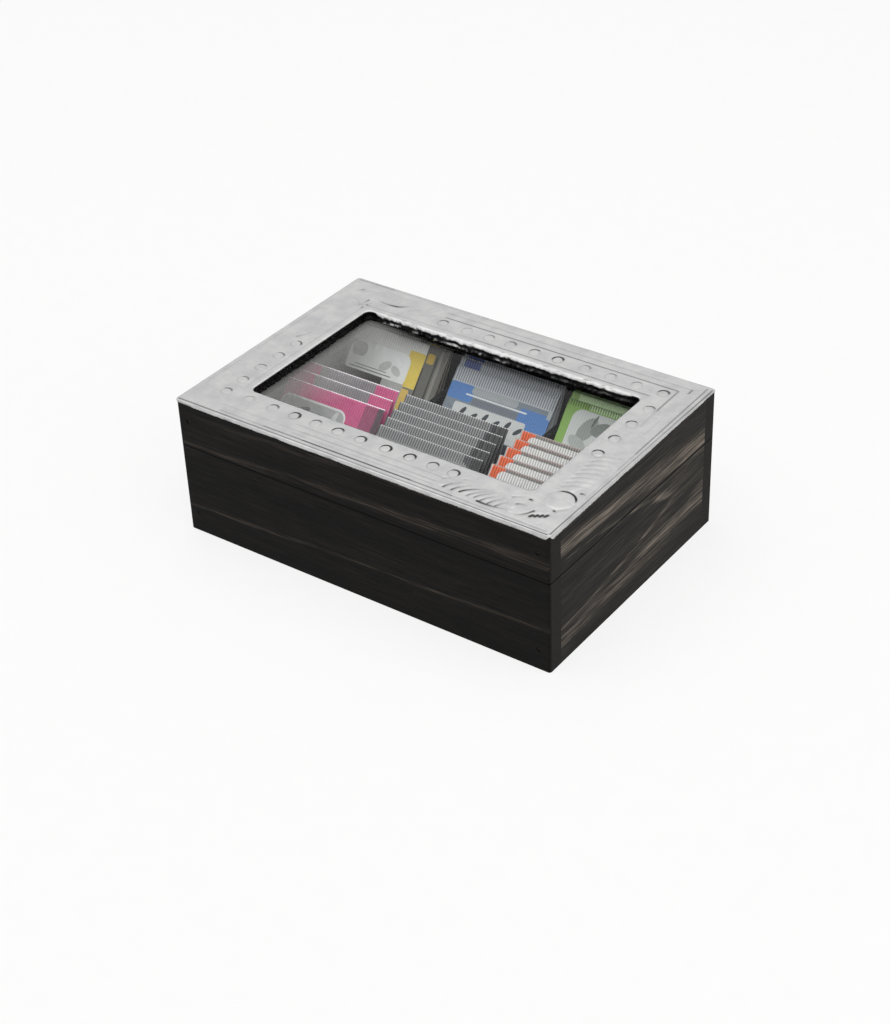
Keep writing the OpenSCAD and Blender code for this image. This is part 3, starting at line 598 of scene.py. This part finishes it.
def border_lines(relief):
    """Straight lines pressed round the frame. They stop short of the ornaments and are worn in places. A
    run starts at a place and goes on to others, each with the stain of the stretch before it."""
    for start, *places in BORDER_RUNS:
        for *end, stain_and_shade in places:
            middle = ((start[0] + end[0]) / 2, (start[1] + end[1]) / 2)
            relief.groove(start, middle, end, depth=0.08, width=0.5, stain_and_shade=min(1, 1.7 * stain_and_shade))
            start = end


def dots(relief):
    """Four rows of dots along the window, each dot with its own stain and painted shade. The crescents are
    painted shade; they lie on the far side of the dots and turn a little from one dot to the next."""
    row = [((x, FRONT_ROW_Y), stain_and_shade, 92) for x, stain_and_shade in FRONT_DOTS]
    row += [((LEFT_ROW_X, y), stain_and_shade, 80) for y, stain_and_shade in LEFT_DOTS]
    row += [((x, BACK_ROW_Y), stain_and_shade, 95) for x, stain_and_shade in BACK_DOTS]
    row += [((RIGHT_ROW_X, y), stain_and_shade, 118) for y, stain_and_shade in RIGHT_DOTS]
    for i, (centre, stain_and_shade, shade_from) in enumerate(row):
        relief.boss(centre, DOT_R, DOT_H, stain_and_shade=stain_and_shade, shade_from=shade_from + 24 * math.sin(1.7 * i),
                    half_angle=60 + 45 * stain_and_shade ** 4, ring=0.15 + 0.25 * stain_and_shade)


def emboss(x, y):
    """Height above the flat sheet, and tarnish and painted shade, at points in the plan."""
    relief = Relief(x, y)
    border_lines(relief)
    dots(relief)
    corner_ornament(relief, False)
    corner_ornament(relief, True)
    for start, middle, end, stain_and_shade in WORN_MARKS:
        relief.groove(start, middle, end, depth=0.1, width=0.7, stain_and_shade=min(1, 1.5 * stain_and_shade), tip=0.3)
    relief.height += 0.018 * waves(x, y, 4, 9, 34)
    return relief.height, relief.tarnish_and_shade


# Metal sheet: rings of points that run round the lid, from the hem outside, over the top and down
# into the window, then back under it.

SHEET_T = 0.4
SHEET_TOP = BOX_H + SHEET_T
OUTER_HALF = (BOX_W / 2 + SHEET_T, BOX_D / 2 + SHEET_T)
WINDOW_HALF = (91.4, 52.4)
OUTER_R = 1.9
WINDOW_R = 3.5
FOLD_R = 0.55
LIP_W = 2.6
LIP_DROP = 0.3
HEM_TOP = SHEET_TOP - LIP_DROP - 0.15
HEM_L = 4.4
WOOD_GAP = 0.03
TOP_GAP = 0.02
WOOD_R = 1.53
LONG_HEM = 1.75
LONG_HEM_TAPER = 0.002
SIDE_HEM = 1.25
SIDE_HEM_TAPER = 0.014
SIDE_STATIONS = (420, 280, 420, 280)
CORNER_STATIONS = 8
STATION_MM = 0.55
TOP_RINGS = 46


def loop_plan():
    """Stations round a rectangle: the corner that each belongs to, its angle there, its place on a side."""
    plan = []
    for k, count in enumerate(SIDE_STATIONS):
        plan += [(k, 0.0, i / count) for i in range(count)]
        plan += [(k, j / CORNER_STATIONS, 1.0) for j in range(CORNER_STATIONS)]
    return plan


def loop_points(plan, half, radius):
    """Points of the plan on a rectangle with round corners, counterclockwise from the front left corner."""
    corners = [(-1, -1), (1, -1), (1, 1), (-1, 1)]
    out = []
    for k, bend, share in plan:
        start = np.array(corners[k]) * (np.array(half) - radius)
        end = np.array(corners[(k + 1) % 4]) * (np.array(half) - radius)
        angle = math.radians(-90 + 90 * k + 90 * bend)
        straight = start + (end - start) * share
        out.append(straight + radius * np.array((math.cos(angle), math.sin(angle))))
    return np.array(out)


def hem_depth(points):
    """How far the sheet is folded down outside, at each station. The hem is cut back at 45 degrees at
    the corners, and along the sides it gets shallower towards the back."""
    x, y = points.T
    along_front = OUTER_HALF[0] - np.abs(x)
    along_side = OUTER_HALF[1] - np.abs(y)
    on_side = along_front < 0.3
    depth = np.where(on_side, SIDE_HEM - SIDE_HEM_TAPER * y, LONG_HEM + LONG_HEM_TAPER * x)
    from_corner = np.where(on_side, along_side, along_front)
    uneven = 0.12 * waves(x, y, 3, 6, 30)
    return np.clip(from_corner - 0.3, 0.25, depth + uneven)


class SheetRings:
    """The rings, with the tarnish and painted shade at each of their points."""

    def __init__(self):
        self.plan = loop_plan()
        self.outer = loop_points(self.plan, OUTER_HALF, OUTER_R)
        self.window = loop_points(self.plan, WINDOW_HALF, WINDOW_R)
        self.span = np.linalg.norm(self.window - self.outer, axis=1)
        self.inward = (self.window - self.outer) / self.span[:, None]
        self.depth = hem_depth(self.outer)
        self.around = np.arange(len(self.plan)) * STATION_MM
        self.ragged = 0.35 * self.uneven(0, 22, 5, 24)
        from_corner = WINDOW_HALF[0] - WINDOW_R - np.abs(self.window[:, 0])
        self.at_back = (self.window[:, 1] > 0) * soft_step(0, 6, from_corner)
        self.points = []
        self.stain_and_shade_rings = []

    def uneven(self, row, seed, shortest, longest):
        """Waves along the rings, which differ from row to row."""
        return waves(self.around, self.around * 0 + row, seed, shortest, longest)

    def ring(self, places, heights, stain_and_shade=0.0):
        self.points.append(np.column_stack([places, np.broadcast_to(heights, len(places))]))
        self.stain_and_shade_rings.append(np.broadcast_to(stain_and_shade, len(places)))

    def faces(self):
        """Quads from ring to ring. The last ring closes on the first."""
        count = len(self.plan)
        faces = []
        for j in range(len(self.points)):
            here, there = j * count, (j + 1) % len(self.points) * count
            for i in range(count):
                after = (i + 1) % count
                faces.append((here + i, here + after, there + after, there + i))
        return faces


def outer_hem(sheet):
    """The hem outside, rippled and smudged, and the soft fold at the top edge."""
    x, y = sheet.outer.T
    smudges = 0.5 * soft_step(0.5, 1.4, waves(x, y, 12, 8, 40))
    for step in (1, 0.62, 0.36, 0.12):
        push = np.clip(0.1 * waves(x + y, 3 * step + y, 5, 2.5, 9) * step, -0.05, 0.3)
        sheet.ring(sheet.outer - sheet.inward * push[:, None], BOX_H - sheet.depth * step, smudges * step)
    dull = np.clip(0.06 + 0.12 * waves(x, y, 8, 5, 24), 0, 0.4)
    for angle in np.radians((12, 38, 64, 90)):
        in_by = FOLD_R * (1 - math.cos(angle))
        sheet.ring(sheet.outer + sheet.inward * in_by, SHEET_TOP - FOLD_R + FOLD_R * math.sin(angle), dull)


def top_face(sheet):
    """The flat top with its embossing, from the outer fold to the lip of the window."""
    for share in np.linspace(0.03, 1, TOP_RINGS)[:-1]:
        away = FOLD_R + share * (sheet.span - FOLD_R - LIP_W)
        places = sheet.outer + sheet.inward * away[:, None]
        height, tarnish_and_shade = emboss(*places.T)
        flat = soft_step(0.0, 1.4, share * sheet.span)
        sheet.ring(places, SHEET_TOP + np.clip(height, -0.3, 0.7) * flat, tarnish_and_shade * flat)


def window_lip(sheet):
    """The lip, rolled softly into the window, with fine streaks along it at the back."""
    for share in (0.0, 0.3, 0.6, 0.85):
        places = sheet.window - sheet.inward * LIP_W * (1 - share)
        streaks = 0.4 * soft_step(0.2, 1.2, sheet.uneven(9 * share, 51, 2.5, 20)) * sheet.at_back
        sheet.ring(places, SHEET_TOP - LIP_DROP * share ** 2, streaks * soft_step(0.2, 0.6, share))


def window_hem(sheet):
    """The crumpled hem inside the window, painted nearly black as shade and dark reflections in the window.
    At the back its upper edge slopes and stays bright, and flecks of bright metal show in its lower half,
    most of them to the left."""
    x = sheet.window[:, 0]
    at_left = soft_step(-30, 30, -x)
    bright_to = -0.2 + sheet.at_back * (0.42 + 0.06 * sheet.uneven(0, 41, 3, 20) - 0.0006 * x)
    for share in np.linspace(0.06, 1, 8):
        crumple = 0.3 * min(1, 3 * share) * (1 + sheet.uneven(6 * share, 21, 2.2, 8))
        flare = 1.1 * soft_step(0.45, 1.0, share)
        slope = 0.65 * soft_step(0, 0.22, share) * sheet.at_back
        stand_off = np.clip(crumple + flare + slope, -0.2, 2.2)
        flecks = soft_step(-0.5, 0.9, sheet.uneven(9 * share, 33, 2.5, 20)) * sheet.at_back
        flecks = flecks * (0.4 + 0.5 * at_left) * soft_step(0.55, 0.8, share)
        # Painted shade and dark reflection: below bright_to the hem is darkened nearly to black, except in
        # the flecks.
        painted_shade = 0.97 * soft_step(bright_to, bright_to + 0.2, share) * (1 - flecks)
        sheet.ring(sheet.window + sheet.inward * stand_off[:, None],
                   HEM_TOP - share * HEM_L + sheet.ragged * share, painted_shade)


def underside(sheet):
    """Back under the sheet, close to the wood."""
    wood = loop_points(sheet.plan, (BOX_W / 2 + WOOD_GAP, BOX_D / 2 + WOOD_GAP), WOOD_R)
    recess = loop_points(sheet.plan, [half + SHEET_T - WOOD_GAP for half in WINDOW_HALF], WINDOW_R)
    sheet.ring(recess, HEM_TOP - HEM_L + sheet.ragged)
    sheet.ring(recess, BOX_H + TOP_GAP)
    sheet.ring(wood, BOX_H + TOP_GAP)
    sheet.ring(wood, BOX_H - sheet.depth)


def metal_sheet(material):
    """The embossed sheet over the lid, one closed thin shell."""
    sheet = SheetRings()
    outer_hem(sheet)
    top_face(sheet)
    window_lip(sheet)
    window_hem(sheet)
    underside(sheet)
    piece = mesh_object("embossed_sheet", np.concatenate(sheet.points), sheet.faces(), material)
    layer = piece.data.attributes.new("tarnish_and_shade", "FLOAT", "POINT")
    layer.data.foreach_set("value", np.concatenate(sheet.stain_and_shade_rings).astype(np.float32))
    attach(piece, "lid")
    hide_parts("embossed_metal_cover")


# Sachets

BELLY = 3.4
FULL_BELLY = 3.6
SEAT_GAP = 0.3
FOOT_GAP = 0.15


def fullness(share):
    """Thickness of a sachet between its seals, fullest below the middle."""
    return np.sin(np.pi * np.clip(share, 0, 1) ** 0.6)


def film_bag(seed):
    """Points of a flat sachet, the front and then the back, and the places of its print. The bag swells
    between the seals, the film puckers next to them, and the seals are pressed into ribs."""
    columns_per_rib = 4
    seal_steps = 5
    body_steps = 25
    columns = int(SACHET_W / RIB_MM * columns_per_rib)
    across = np.linspace(-SACHET_W / 2, SACHET_W / 2, columns + 1)
    seal_rows = np.linspace(0, CRIMP_L, seal_steps + 1)
    body_rows = np.linspace(CRIMP_L, SACHET_L - CRIMP_L, body_steps + 1)[1:-1]
    up = np.concatenate([seal_rows, body_rows, SACHET_L - seal_rows[::-1]])
    u, s = np.meshgrid(across, up)
    share = (s - CRIMP_L) / (SACHET_L - 2 * CRIMP_L)
    side = np.clip(1 - np.abs(u / (SACHET_W / 2)) ** 5, 0, 1) ** 0.6
    bag = 1 + 0.06 * waves(u, s, seed, 14, 30, 12)
    half = CRIMP_T / 2 + (BELLY - CRIMP_T) / 2 * fullness(share) * side * bag
    from_seal = np.minimum(s, SACHET_L - s) - CRIMP_L
    in_seal = 1 - soft_step(0, 2.5, from_seal + 1.0)
    ribs = 0.2 * np.sin(2 * np.pi * u / RIB_MM) * in_seal
    pull = np.exp(-np.maximum(0, from_seal) / 7.0) * (1 - in_seal)
    pleats = 0.28 * pull * waves(u, s * 0.12, seed + 50, 3.5, 11, 10)
    sway = 0.22 * np.sin(np.pi * s / SACHET_L) * waves(u, s, seed + 90, 60, 140, 4)
    points = []
    prints = []
    for outward in (-1, 1):
        thick = np.maximum(half + outward * pleats * 0.6, 0.12)
        points.append(np.stack([u, outward * thick + ribs + sway * 0.4, s], axis=-1).reshape(-1, 3))
        prints.append(np.stack([-outward * u, s], axis=-1).reshape(-1, 2) / PRINT_MM)
    return np.concatenate(points), np.concatenate(prints), len(up), len(across)


def bag_faces(rows, cols):
    """Quads of the front and the back, then of the narrow edges between them."""
    split = rows * cols
    faces = []
    for r in range(rows - 1):
        for c in range(cols - 1):
            a, b = r * cols + c, r * cols + c + 1
            faces.append((a, b, b + cols, a + cols))
            faces.append((split + b, split + a, split + a + cols, split + b + cols))
    edges = [(r * cols + c, r * cols + c + cols, flip)
             for r in range(rows - 1) for c, flip in ((0, False), (cols - 1, True))]
    edges += [(r * cols + c, r * cols + c + 1, flip)
              for c in range(cols - 1) for r, flip in ((0, True), (rows - 1, False))]
    for a, b, flip in edges:
        quad = (a, b, split + b, split + a)
        faces.append(quad[::-1] if flip else quad)
    return faces


def sachet(name, foot_y, tilt, centre_x, seed, material, node):
    """One sealed sachet, standing on its foot and leaning back by tilt degrees."""
    flat, prints, rows, cols = film_bag(seed)
    angle = math.radians(tilt)
    side, out, up = flat.T
    away = out * math.cos(angle) + up * math.sin(angle)
    rise = -out * math.sin(angle) + up * math.cos(angle)
    lift = FLOOR_Z + FOOT_GAP + CRIMP_T / 2 * math.sin(angle)
    skew = np.random.default_rng(seed).uniform(-0.004, 0.004)
    placed = np.column_stack([side + centre_x + skew * up, foot_y + away, lift + rise])
    piece = mesh_object(name, placed, bag_faces(rows, cols), material)
    layer = piece.data.uv_layers.new(name="print")
    corner = np.zeros(len(piece.data.loops), np.int32)
    piece.data.loops.foreach_get("vertex_index", corner)
    layer.data.foreach_set("uv", prints[corner].ravel())
    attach(piece, "base")
    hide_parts(node)


def tilts(count, lean, foot_step, top_step):
    """Lean of each sachet of a fan, from the rear one forward."""
    out = [lean]
    while len(out) < count:
        gap = foot_step * math.cos(math.radians(out[-1])) - top_step
        out.append(out[-1] + math.degrees(math.asin(gap / SACHET_L)))
    return out


def back_fan(count, empty):
    """Place of the rear foot, step from foot to foot and leans of a stack in the back row. It leans on
    the back board, as steeply as the glass strips allow, and leaves a share of its room empty."""
    headroom = 2.4
    divider_gap = 2.75
    top_step = 1.4
    lean = math.degrees(math.acos((STRIP_Z - headroom - FLOOR_Z) / SACHET_L))
    rear = INNER_D / 2 - SEAT_GAP - CRIMP_T / 2 - SACHET_L * math.sin(math.radians(lean))
    front = DIVIDER_T / 2 + divider_gap
    step = (rear - front) * (1 - empty) / (count - 1)
    return rear, step, tilts(count, lean, step, top_step)


def front_fan(count, lean, top_step, empty):
    """The same for a stack in the front row, which leans on the top of the long divider."""
    board_gap = 1.0
    slope = math.radians(lean)
    height = DIVIDER_TOP - FLOOR_Z
    share = (height / math.cos(slope) - CRIMP_L) / (SACHET_L - 2 * CRIMP_L)
    half = CRIMP_T / 2 + (FULL_BELLY - CRIMP_T) / 2 * float(fullness(share))
    rear = -DIVIDER_T / 2 - height * math.tan(slope) - (SEAT_GAP + half) / math.cos(slope)
    front = -INNER_D / 2 + board_gap
    step = (rear - front) * (1 - empty) / (count - 1)
    return rear, step, tilts(count, lean, step, top_step)


# Films of the six kinds: the front sachet of each stack, then the rear ones, of which little more than
# the top seal shows. A patch is a colour, its left and right, its lower and upper edge, and its corner.
# A leaf is a colour, its middle, length, width and turn. Most patches are print; those marked are painted
# shade or sheen.

def yellow_films():
    front = printed_film_and_painted_shade("yellow_film", "#84827D", [
        ("#EFEEE9", -34, 20, 70, 80, 0.5), ("#F0D465", 9, 20, 52, 73.5, 0.8),
        ("#E8C46C", 10, 17, 34, 51, 0.8), ("#FAFAF8", -31, 12, 50, 70.5, 6),
        # The patch #BDBCB9 over the left of the label is painted shade, not ink.
        ("#BDBCB9", -30, -19, 61, 69.5, 4), ("#4F4D4A", -34, -3, 43, 53, 0.4),
        ("#BEBDBA", -3, 12, 38, 53, 0.4), ("#6B6963", 20, 34, 0, 80, 0.3),
        # The dark lines #3A3834 and the light streak #8E8C84 at the right end are painted shadow and painted
        # sheen of folds in the film.
        ("#C9A94E", 21, 26, 69, 75, 1.2), ("#3A3834", 20, 21, 30, 66, 0.4),
        ("#3A3834", 27, 28, 30, 74, 0.4), ("#8E8C84", 29, 31, 30, 78, 0.8),
        ("#5F5E5A", -28, 2, 54.4, 54.9, 0.2), ("#5F5E5A", -25, -2, 56.2, 56.6, 0.2),
    ], leaves=[("#D4D4D1", (-4, 60), 9, 5, 35), ("#D4D4D1", (4, 59), 8, 4.5, -30)], painted_rib_shade=0.92)
    rear = printed_film_and_painted_shade("yellow_film_rear", "#9A9893", [
        ("#D6D5D1", -30, 12, 40, 78, 2), ("#E8C44F", 18, 26, 55, 76, 1), ("#62605B", 28, 34, 0, 80, 0.3),
    ], painted_rib_shade=0.6)
    return front, rear


def blue_films():
    leaf_row = [(-20 + 7.6 * i, 55.5 - 1.2 * (i % 2), 62 - 18 * (i % 2)) for i in range(6)]
    front = printed_film_and_painted_shade("blue_film", "#7F8890", [
        ("#BBBEC3", -34, 34, 70.8, 80, 0.2), ("#5580BC", -34, -17, 61, 71, 2.5),
        ("#5580BC", 14, 34, 50, 68, 2.5), ("#A6A9AC", -19, 12, 66.4, 71, 2.0),
        ("#E4E5E4", -22, 19, 65.1, 66, 0.4), ("#737881", -17, 14, 60.6, 64.4, 0.6),
        ("#CDCECC", -27, 21, 45.5, 60, 1.2), ("#272B36", -30, 27, 26, 45, 0.6),
        ("#AEB2B5", 31.5, 34, 66, 80, 0.4),
    ], leaves=[("#393D44", (x, y), 6.5, 2.6, turn) for x, y, turn in leaf_row], edge="#C9CACA")
    rear = printed_film_and_painted_shade("blue_film_rear", "#B6B9BF", [
        ("#5163A0", -31, -20, 70, 79.4, 1), ("#B0B3B8", 4, 34, 77.5, 80, 0.3),
    ], rib_shade_from=62)
    return front, rear


def green_films():
    front = printed_film_and_painted_shade("green_film", "#8BB25A", [
        ("#BFDFA2", -20, 34, 76.6, 80, 0.2), ("#D3D5D2", -28.5, 26, 48, 76, 6),
    ], leaves=[
        ("#9C9F9C", (-17, 66), 16, 9, 62), ("#838883", (-8, 68), 14, 8, 20),
        ("#B3B7B2", (-20, 57), 13, 7, -25), ("#676C68", (-14, 71.5), 8, 1.6, 75),
    ], rib_shade_from=76.6, edge="#9DB584")
    rear = printed_film_and_painted_shade("green_film_rear", "#D4F0B8", [("#9CC56B", -34, -29, 20, 80, 0.4)],
                        rib_shade_from=66, painted_rib_shade=0.98, edge="#B9D0A2")
    return front, rear


def pink_films():
    front = printed_film_and_painted_shade("pink_film", "#C45A84", [
        ("#96506C", 21.5, 30, 60, 79.2, 1), ("#574850", 30, 34, 0, 80, 0.3),
        ("#B3507A", -34, -23, 71.5, 79.5, 1), ("#DDDCDA", -33, 12.3, 30, 71.6, 5.5),
        ("#AAA9A8", -32, 11.4, 31, 70.5, 4.8),
    ], leaves=[
        ("#7D7C7A", (-17, 64), 11, 4, 28), ("#8A8988", (-2, 62), 12, 5, -25), ("#CBCAC8", (5, 66), 8, 3, 70),
    ], painted_rib_shade=0.85, edge="#EFE6EA")
    rear = printed_film_and_painted_shade("pink_film_rear", "#878184", [
        ("#C45A84", 19, 34, 40, 79.4, 0.6), ("#BE4C7B", -34, -20, 50, 79.4, 1),
        ("#DAD5D7", -20.5, 18, 30, 73, 4.4), ("#7E787B", -19.5, 17, 31, 71.9, 3.6),
    ], painted_rib_shade=0.8, edge="#EFE6EA")
    return front, rear


def grey_films():
    rear = printed_film_and_painted_shade("grey_film", "#5A5A5B", [
        ("#8F8F8F", -34, 23, 60, 79.4, 0.4), ("#434344", 24.5, 34, 0, 80, 0.3),
        ("#808080", 27.5, 28.3, 40, 79, 0.4), ("#6C6C6C", 31, 31.6, 40, 79, 0.4),
    ], rib_shade_from=60, painted_rib_shade=0.3, edge="#C9C9C8")
    front = printed_film_and_painted_shade("grey_film_front", "#5A5A5B", [
        ("#8F8F8F", -34, 23, 60, 79.4, 0.4), ("#9A9A99", 10, 27, 60, 75.6, 4),
        ("#434344", 28, 34, 0, 80, 0.3),
    ], rib_shade_from=74, painted_rib_shade=0.3, edge="#C9C9C8")
    return front, rear


def orange_films():
    film = printed_film_and_painted_shade("orange_film", "#E4683E", [
        # The grey band #87837F along the top of the seal is painted shadow in the gap between one sachet and
        # the next.
        ("#87837F", -25, 34, 77.6, 79.5, 0.4), ("#E6E3E1", -28.5, 34, 60, 77.9, 3.2),
        ("#E0DFDD", -34, -33.1, 0, 80, 0.3),
    ], rib_shade_from=60, painted_rib_shade=0.6, edge="#A39E9B")
    return film, film


def fill_compartments():
    """Six stacks: the colour, the films, the compartment and its column, the fan, and how far it has slid
    to one side, as a share of the room beside it."""
    lean = 38.0
    stacks = [
        ("yellow", yellow_films(), "back_left", -1, back_fan(3, 0.37), -0.65),
        ("blue", blue_films(), "back_middle", 0, back_fan(4, 0.0), 0.65),
        ("green", green_films(), "back_right", 1, back_fan(4, 0.12), 0.65),
        ("pink", pink_films(), "front_left", -1, front_fan(3, lean, 3.5, 0.4), 0.65),
        ("grey", grey_films(), "front_middle", 0, front_fan(5, lean, 3.5, 0.0), -0.4),
        ("orange", orange_films(), "front_right", 1, front_fan(5, lean - 3, 4.4, 0.0), 0.88),
    ]
    side_room = 1.5
    scatter = 0.12
    for number, (colour, films, where, column, (rear, step, leans), aside) in enumerate(stacks):
        for i, tilt in enumerate(leans):
            film = films[0 if i == len(leans) - 1 else 1]
            shift = side_room * (aside + scatter * math.sin(math.radians(137 * i)))
            sachet(f"{colour}_sachet_{i + 1}", rear - i * step, tilt, column * COLUMN + shift,
                   100 * number + 7 * i + 1, film, f"sachets_{where}_{colour}")


# Materials on the pieces that stay as they are

def dress(names, material):
    """Gives pieces from the frame their material."""
    for name in names:
        data = nodes[name].data
        data.materials.clear()
        data.materials.append(material)


ARCH_RINGS = [
    (0, 0.1), (30, 0.16), (36, 0.85), (46, 0.25), (78, 0.2), (92, 0.4), (108, 0.8), (135, 0.95), (170, 0.9),
    (200, 0.5), (235, 0.16), (300, 0.1),
]
STRAIGHT_RINGS = [
    (0, 0.08), (20.3, 0.12), (21.7, 0.95), (23.4, 0.14), (45, 0.08), (58.5, 0.15), (62.8, 0.95), (64.6, 0.2),
    (76.5, 0.15), (80.5, 0.75), (82, 0.15),
]
PLAIN_RINGS = [(0, 0.3), (30, 0.5), (45, 0.2), (60, 0.55), (83, 0.3)]


def dress_frame_pieces():
    long_boards = stained_pine("long_boards", "X", STRAIGHT_RINGS, dark="#0C0B0B",
                               light="#453E38", shift=1.0)
    side_boards = stained_pine("side_boards", "Y", ARCH_RINGS, dark="#161513",
                               light="#7F756B", shift=3.0)
    panels = stained_pine("panels", "X", PLAIN_RINGS, dark="#100F0E", light="#3A3531",
                          shift=7.0)
    dividers = stained_pine("dividers", "X", PLAIN_RINGS, dark="#1B1C1E", light="#454548")
    dress(["base_front_board", "base_back_board", "lid_front_board", "lid_back_board"], long_boards)
    dress(["base_left_board", "base_right_board", "lid_left_board", "lid_right_board"], side_boards)
    dress(["bottom_panel", "lid_top_panel", "glass_retainer_front", "glass_retainer_back",
           "glass_retainer_left", "glass_retainer_right"], panels)
    dress(["long_divider", "cross_divider_left", "cross_divider_right"], dividers)
    dress(["window_glass"], picture_glass())
    dress(["base_corner_nails", "lid_corner_nails", "bottom_panel_nails", "glass_retainer_pins"],
          drawn_steel())
    dress([name for name in nodes if name.startswith("hinge_")], plated_brass())


# Floor, world and lamps

WORLD_LIGHT = 0.4
FLOOR_GLOW = 0.93
FLOOR_LIFT = 0.85
FLOOR_HALF = 6000.0
FLOOR_BELOW = 0.2


def shown_to_the_eye(tree):
    """One for what the camera sees, itself, in metal or through glass, and nought for all other light."""
    path = add(tree, "ShaderNodeLightPath")
    seen = add(tree, "ShaderNodeMath", {0: path.outputs["Is Camera Ray"], 1: path.outputs["Is Glossy Ray"]},
               operation="MAXIMUM")
    return add(tree, "ShaderNodeMath", {0: seen, 1: path.outputs["Is Transmission Ray"]},
               operation="MAXIMUM")


def pale_floor():
    """A matt white floor, lifted nearly to white for the eye. It keeps the shadow."""
    material, tree = new_material("matt_white_floor")
    speck_mm = 15.0
    specks = add(tree, "ShaderNodeTexNoise", {"Vector": in_mm(tree), "Scale": 1 / speck_mm})
    colour = add(tree, "ShaderNodeValToRGB", {0: specks}, stops=[
        (0.3, linear("#F4F4F3")), (0.7, linear("#F8F8F7"))])
    shader = add(tree, "ShaderNodeBsdfDiffuse", {0: colour})
    lift = add(tree, "ShaderNodeEmission", {0: WHITE, 1: FLOOR_GLOW})
    share = add(tree, "ShaderNodeMath", {0: shown_to_the_eye(tree), 1: FLOOR_LIFT}, operation="MULTIPLY")
    finished(material, add(tree, "ShaderNodeMixShader", {0: share, 1: shader, 2: lift}))
    corners = [(-1, -1), (1, -1), (1, 1), (-1, 1)]
    points = [(FLOOR_HALF * x, FLOOR_HALF * y, -FLOOR_BELOW) for x, y in corners]
    mesh_object("floor", points, [(0, 1, 2, 3)], material, smooth=False)


def pale_world():
    """White to the eye, and a plain soft light on everything else."""
    world = bpy.data.worlds.new("pale_world")
    scene.world = world
    world.use_nodes = True
    tree = world.node_tree
    tree.nodes.clear()
    strength = add(tree, "ShaderNodeMapRange", {0: shown_to_the_eye(tree), 3: WORLD_LIGHT, 4: 1.0})
    light = add(tree, "ShaderNodeBackground", {0: WHITE, 1: strength})
    add(tree, "ShaderNodeOutputWorld", {0: light})


def lamp(name, place, target, width, height, power, mirrored=True):
    """A large soft lamp, so big that its mirror image in the metal does not burn out. One that is not
    mirrored lights matt surfaces only."""
    data = bpy.data.lights.new(name, "AREA")
    data.shape = "RECTANGLE"
    data.size = width
    data.size_y = height
    data.energy = power
    made = bpy.data.objects.new(name, data)
    made.location = place
    made.rotation_euler = (Vector(target) - Vector(place)).to_track_quat("-Z", "Y").to_euler()
    made.visible_glossy = mirrored
    scene.collection.objects.link(made)


def light_the_box():
    pale_world()
    pale_floor()
    lamp("right_softbox", (2.4, 0.1, 1.2), (0, 0, 0.05), 3.0, 2.3, 28, mirrored=False)
    lamp("top_softbox", (-0.1, -0.3, 2.2), (-0.05, -0.2, 0.08), 4.6, 4.0, 32)
    lamp("top_fill", (-0.1, -0.5, 2.25), (-0.05, -0.2, 0.08), 3.4, 3.0, 46, mirrored=False)


make_camera()
dress_frame_pieces()
metal_sheet(embossed_aluminium())
fill_compartments()
light_the_box()
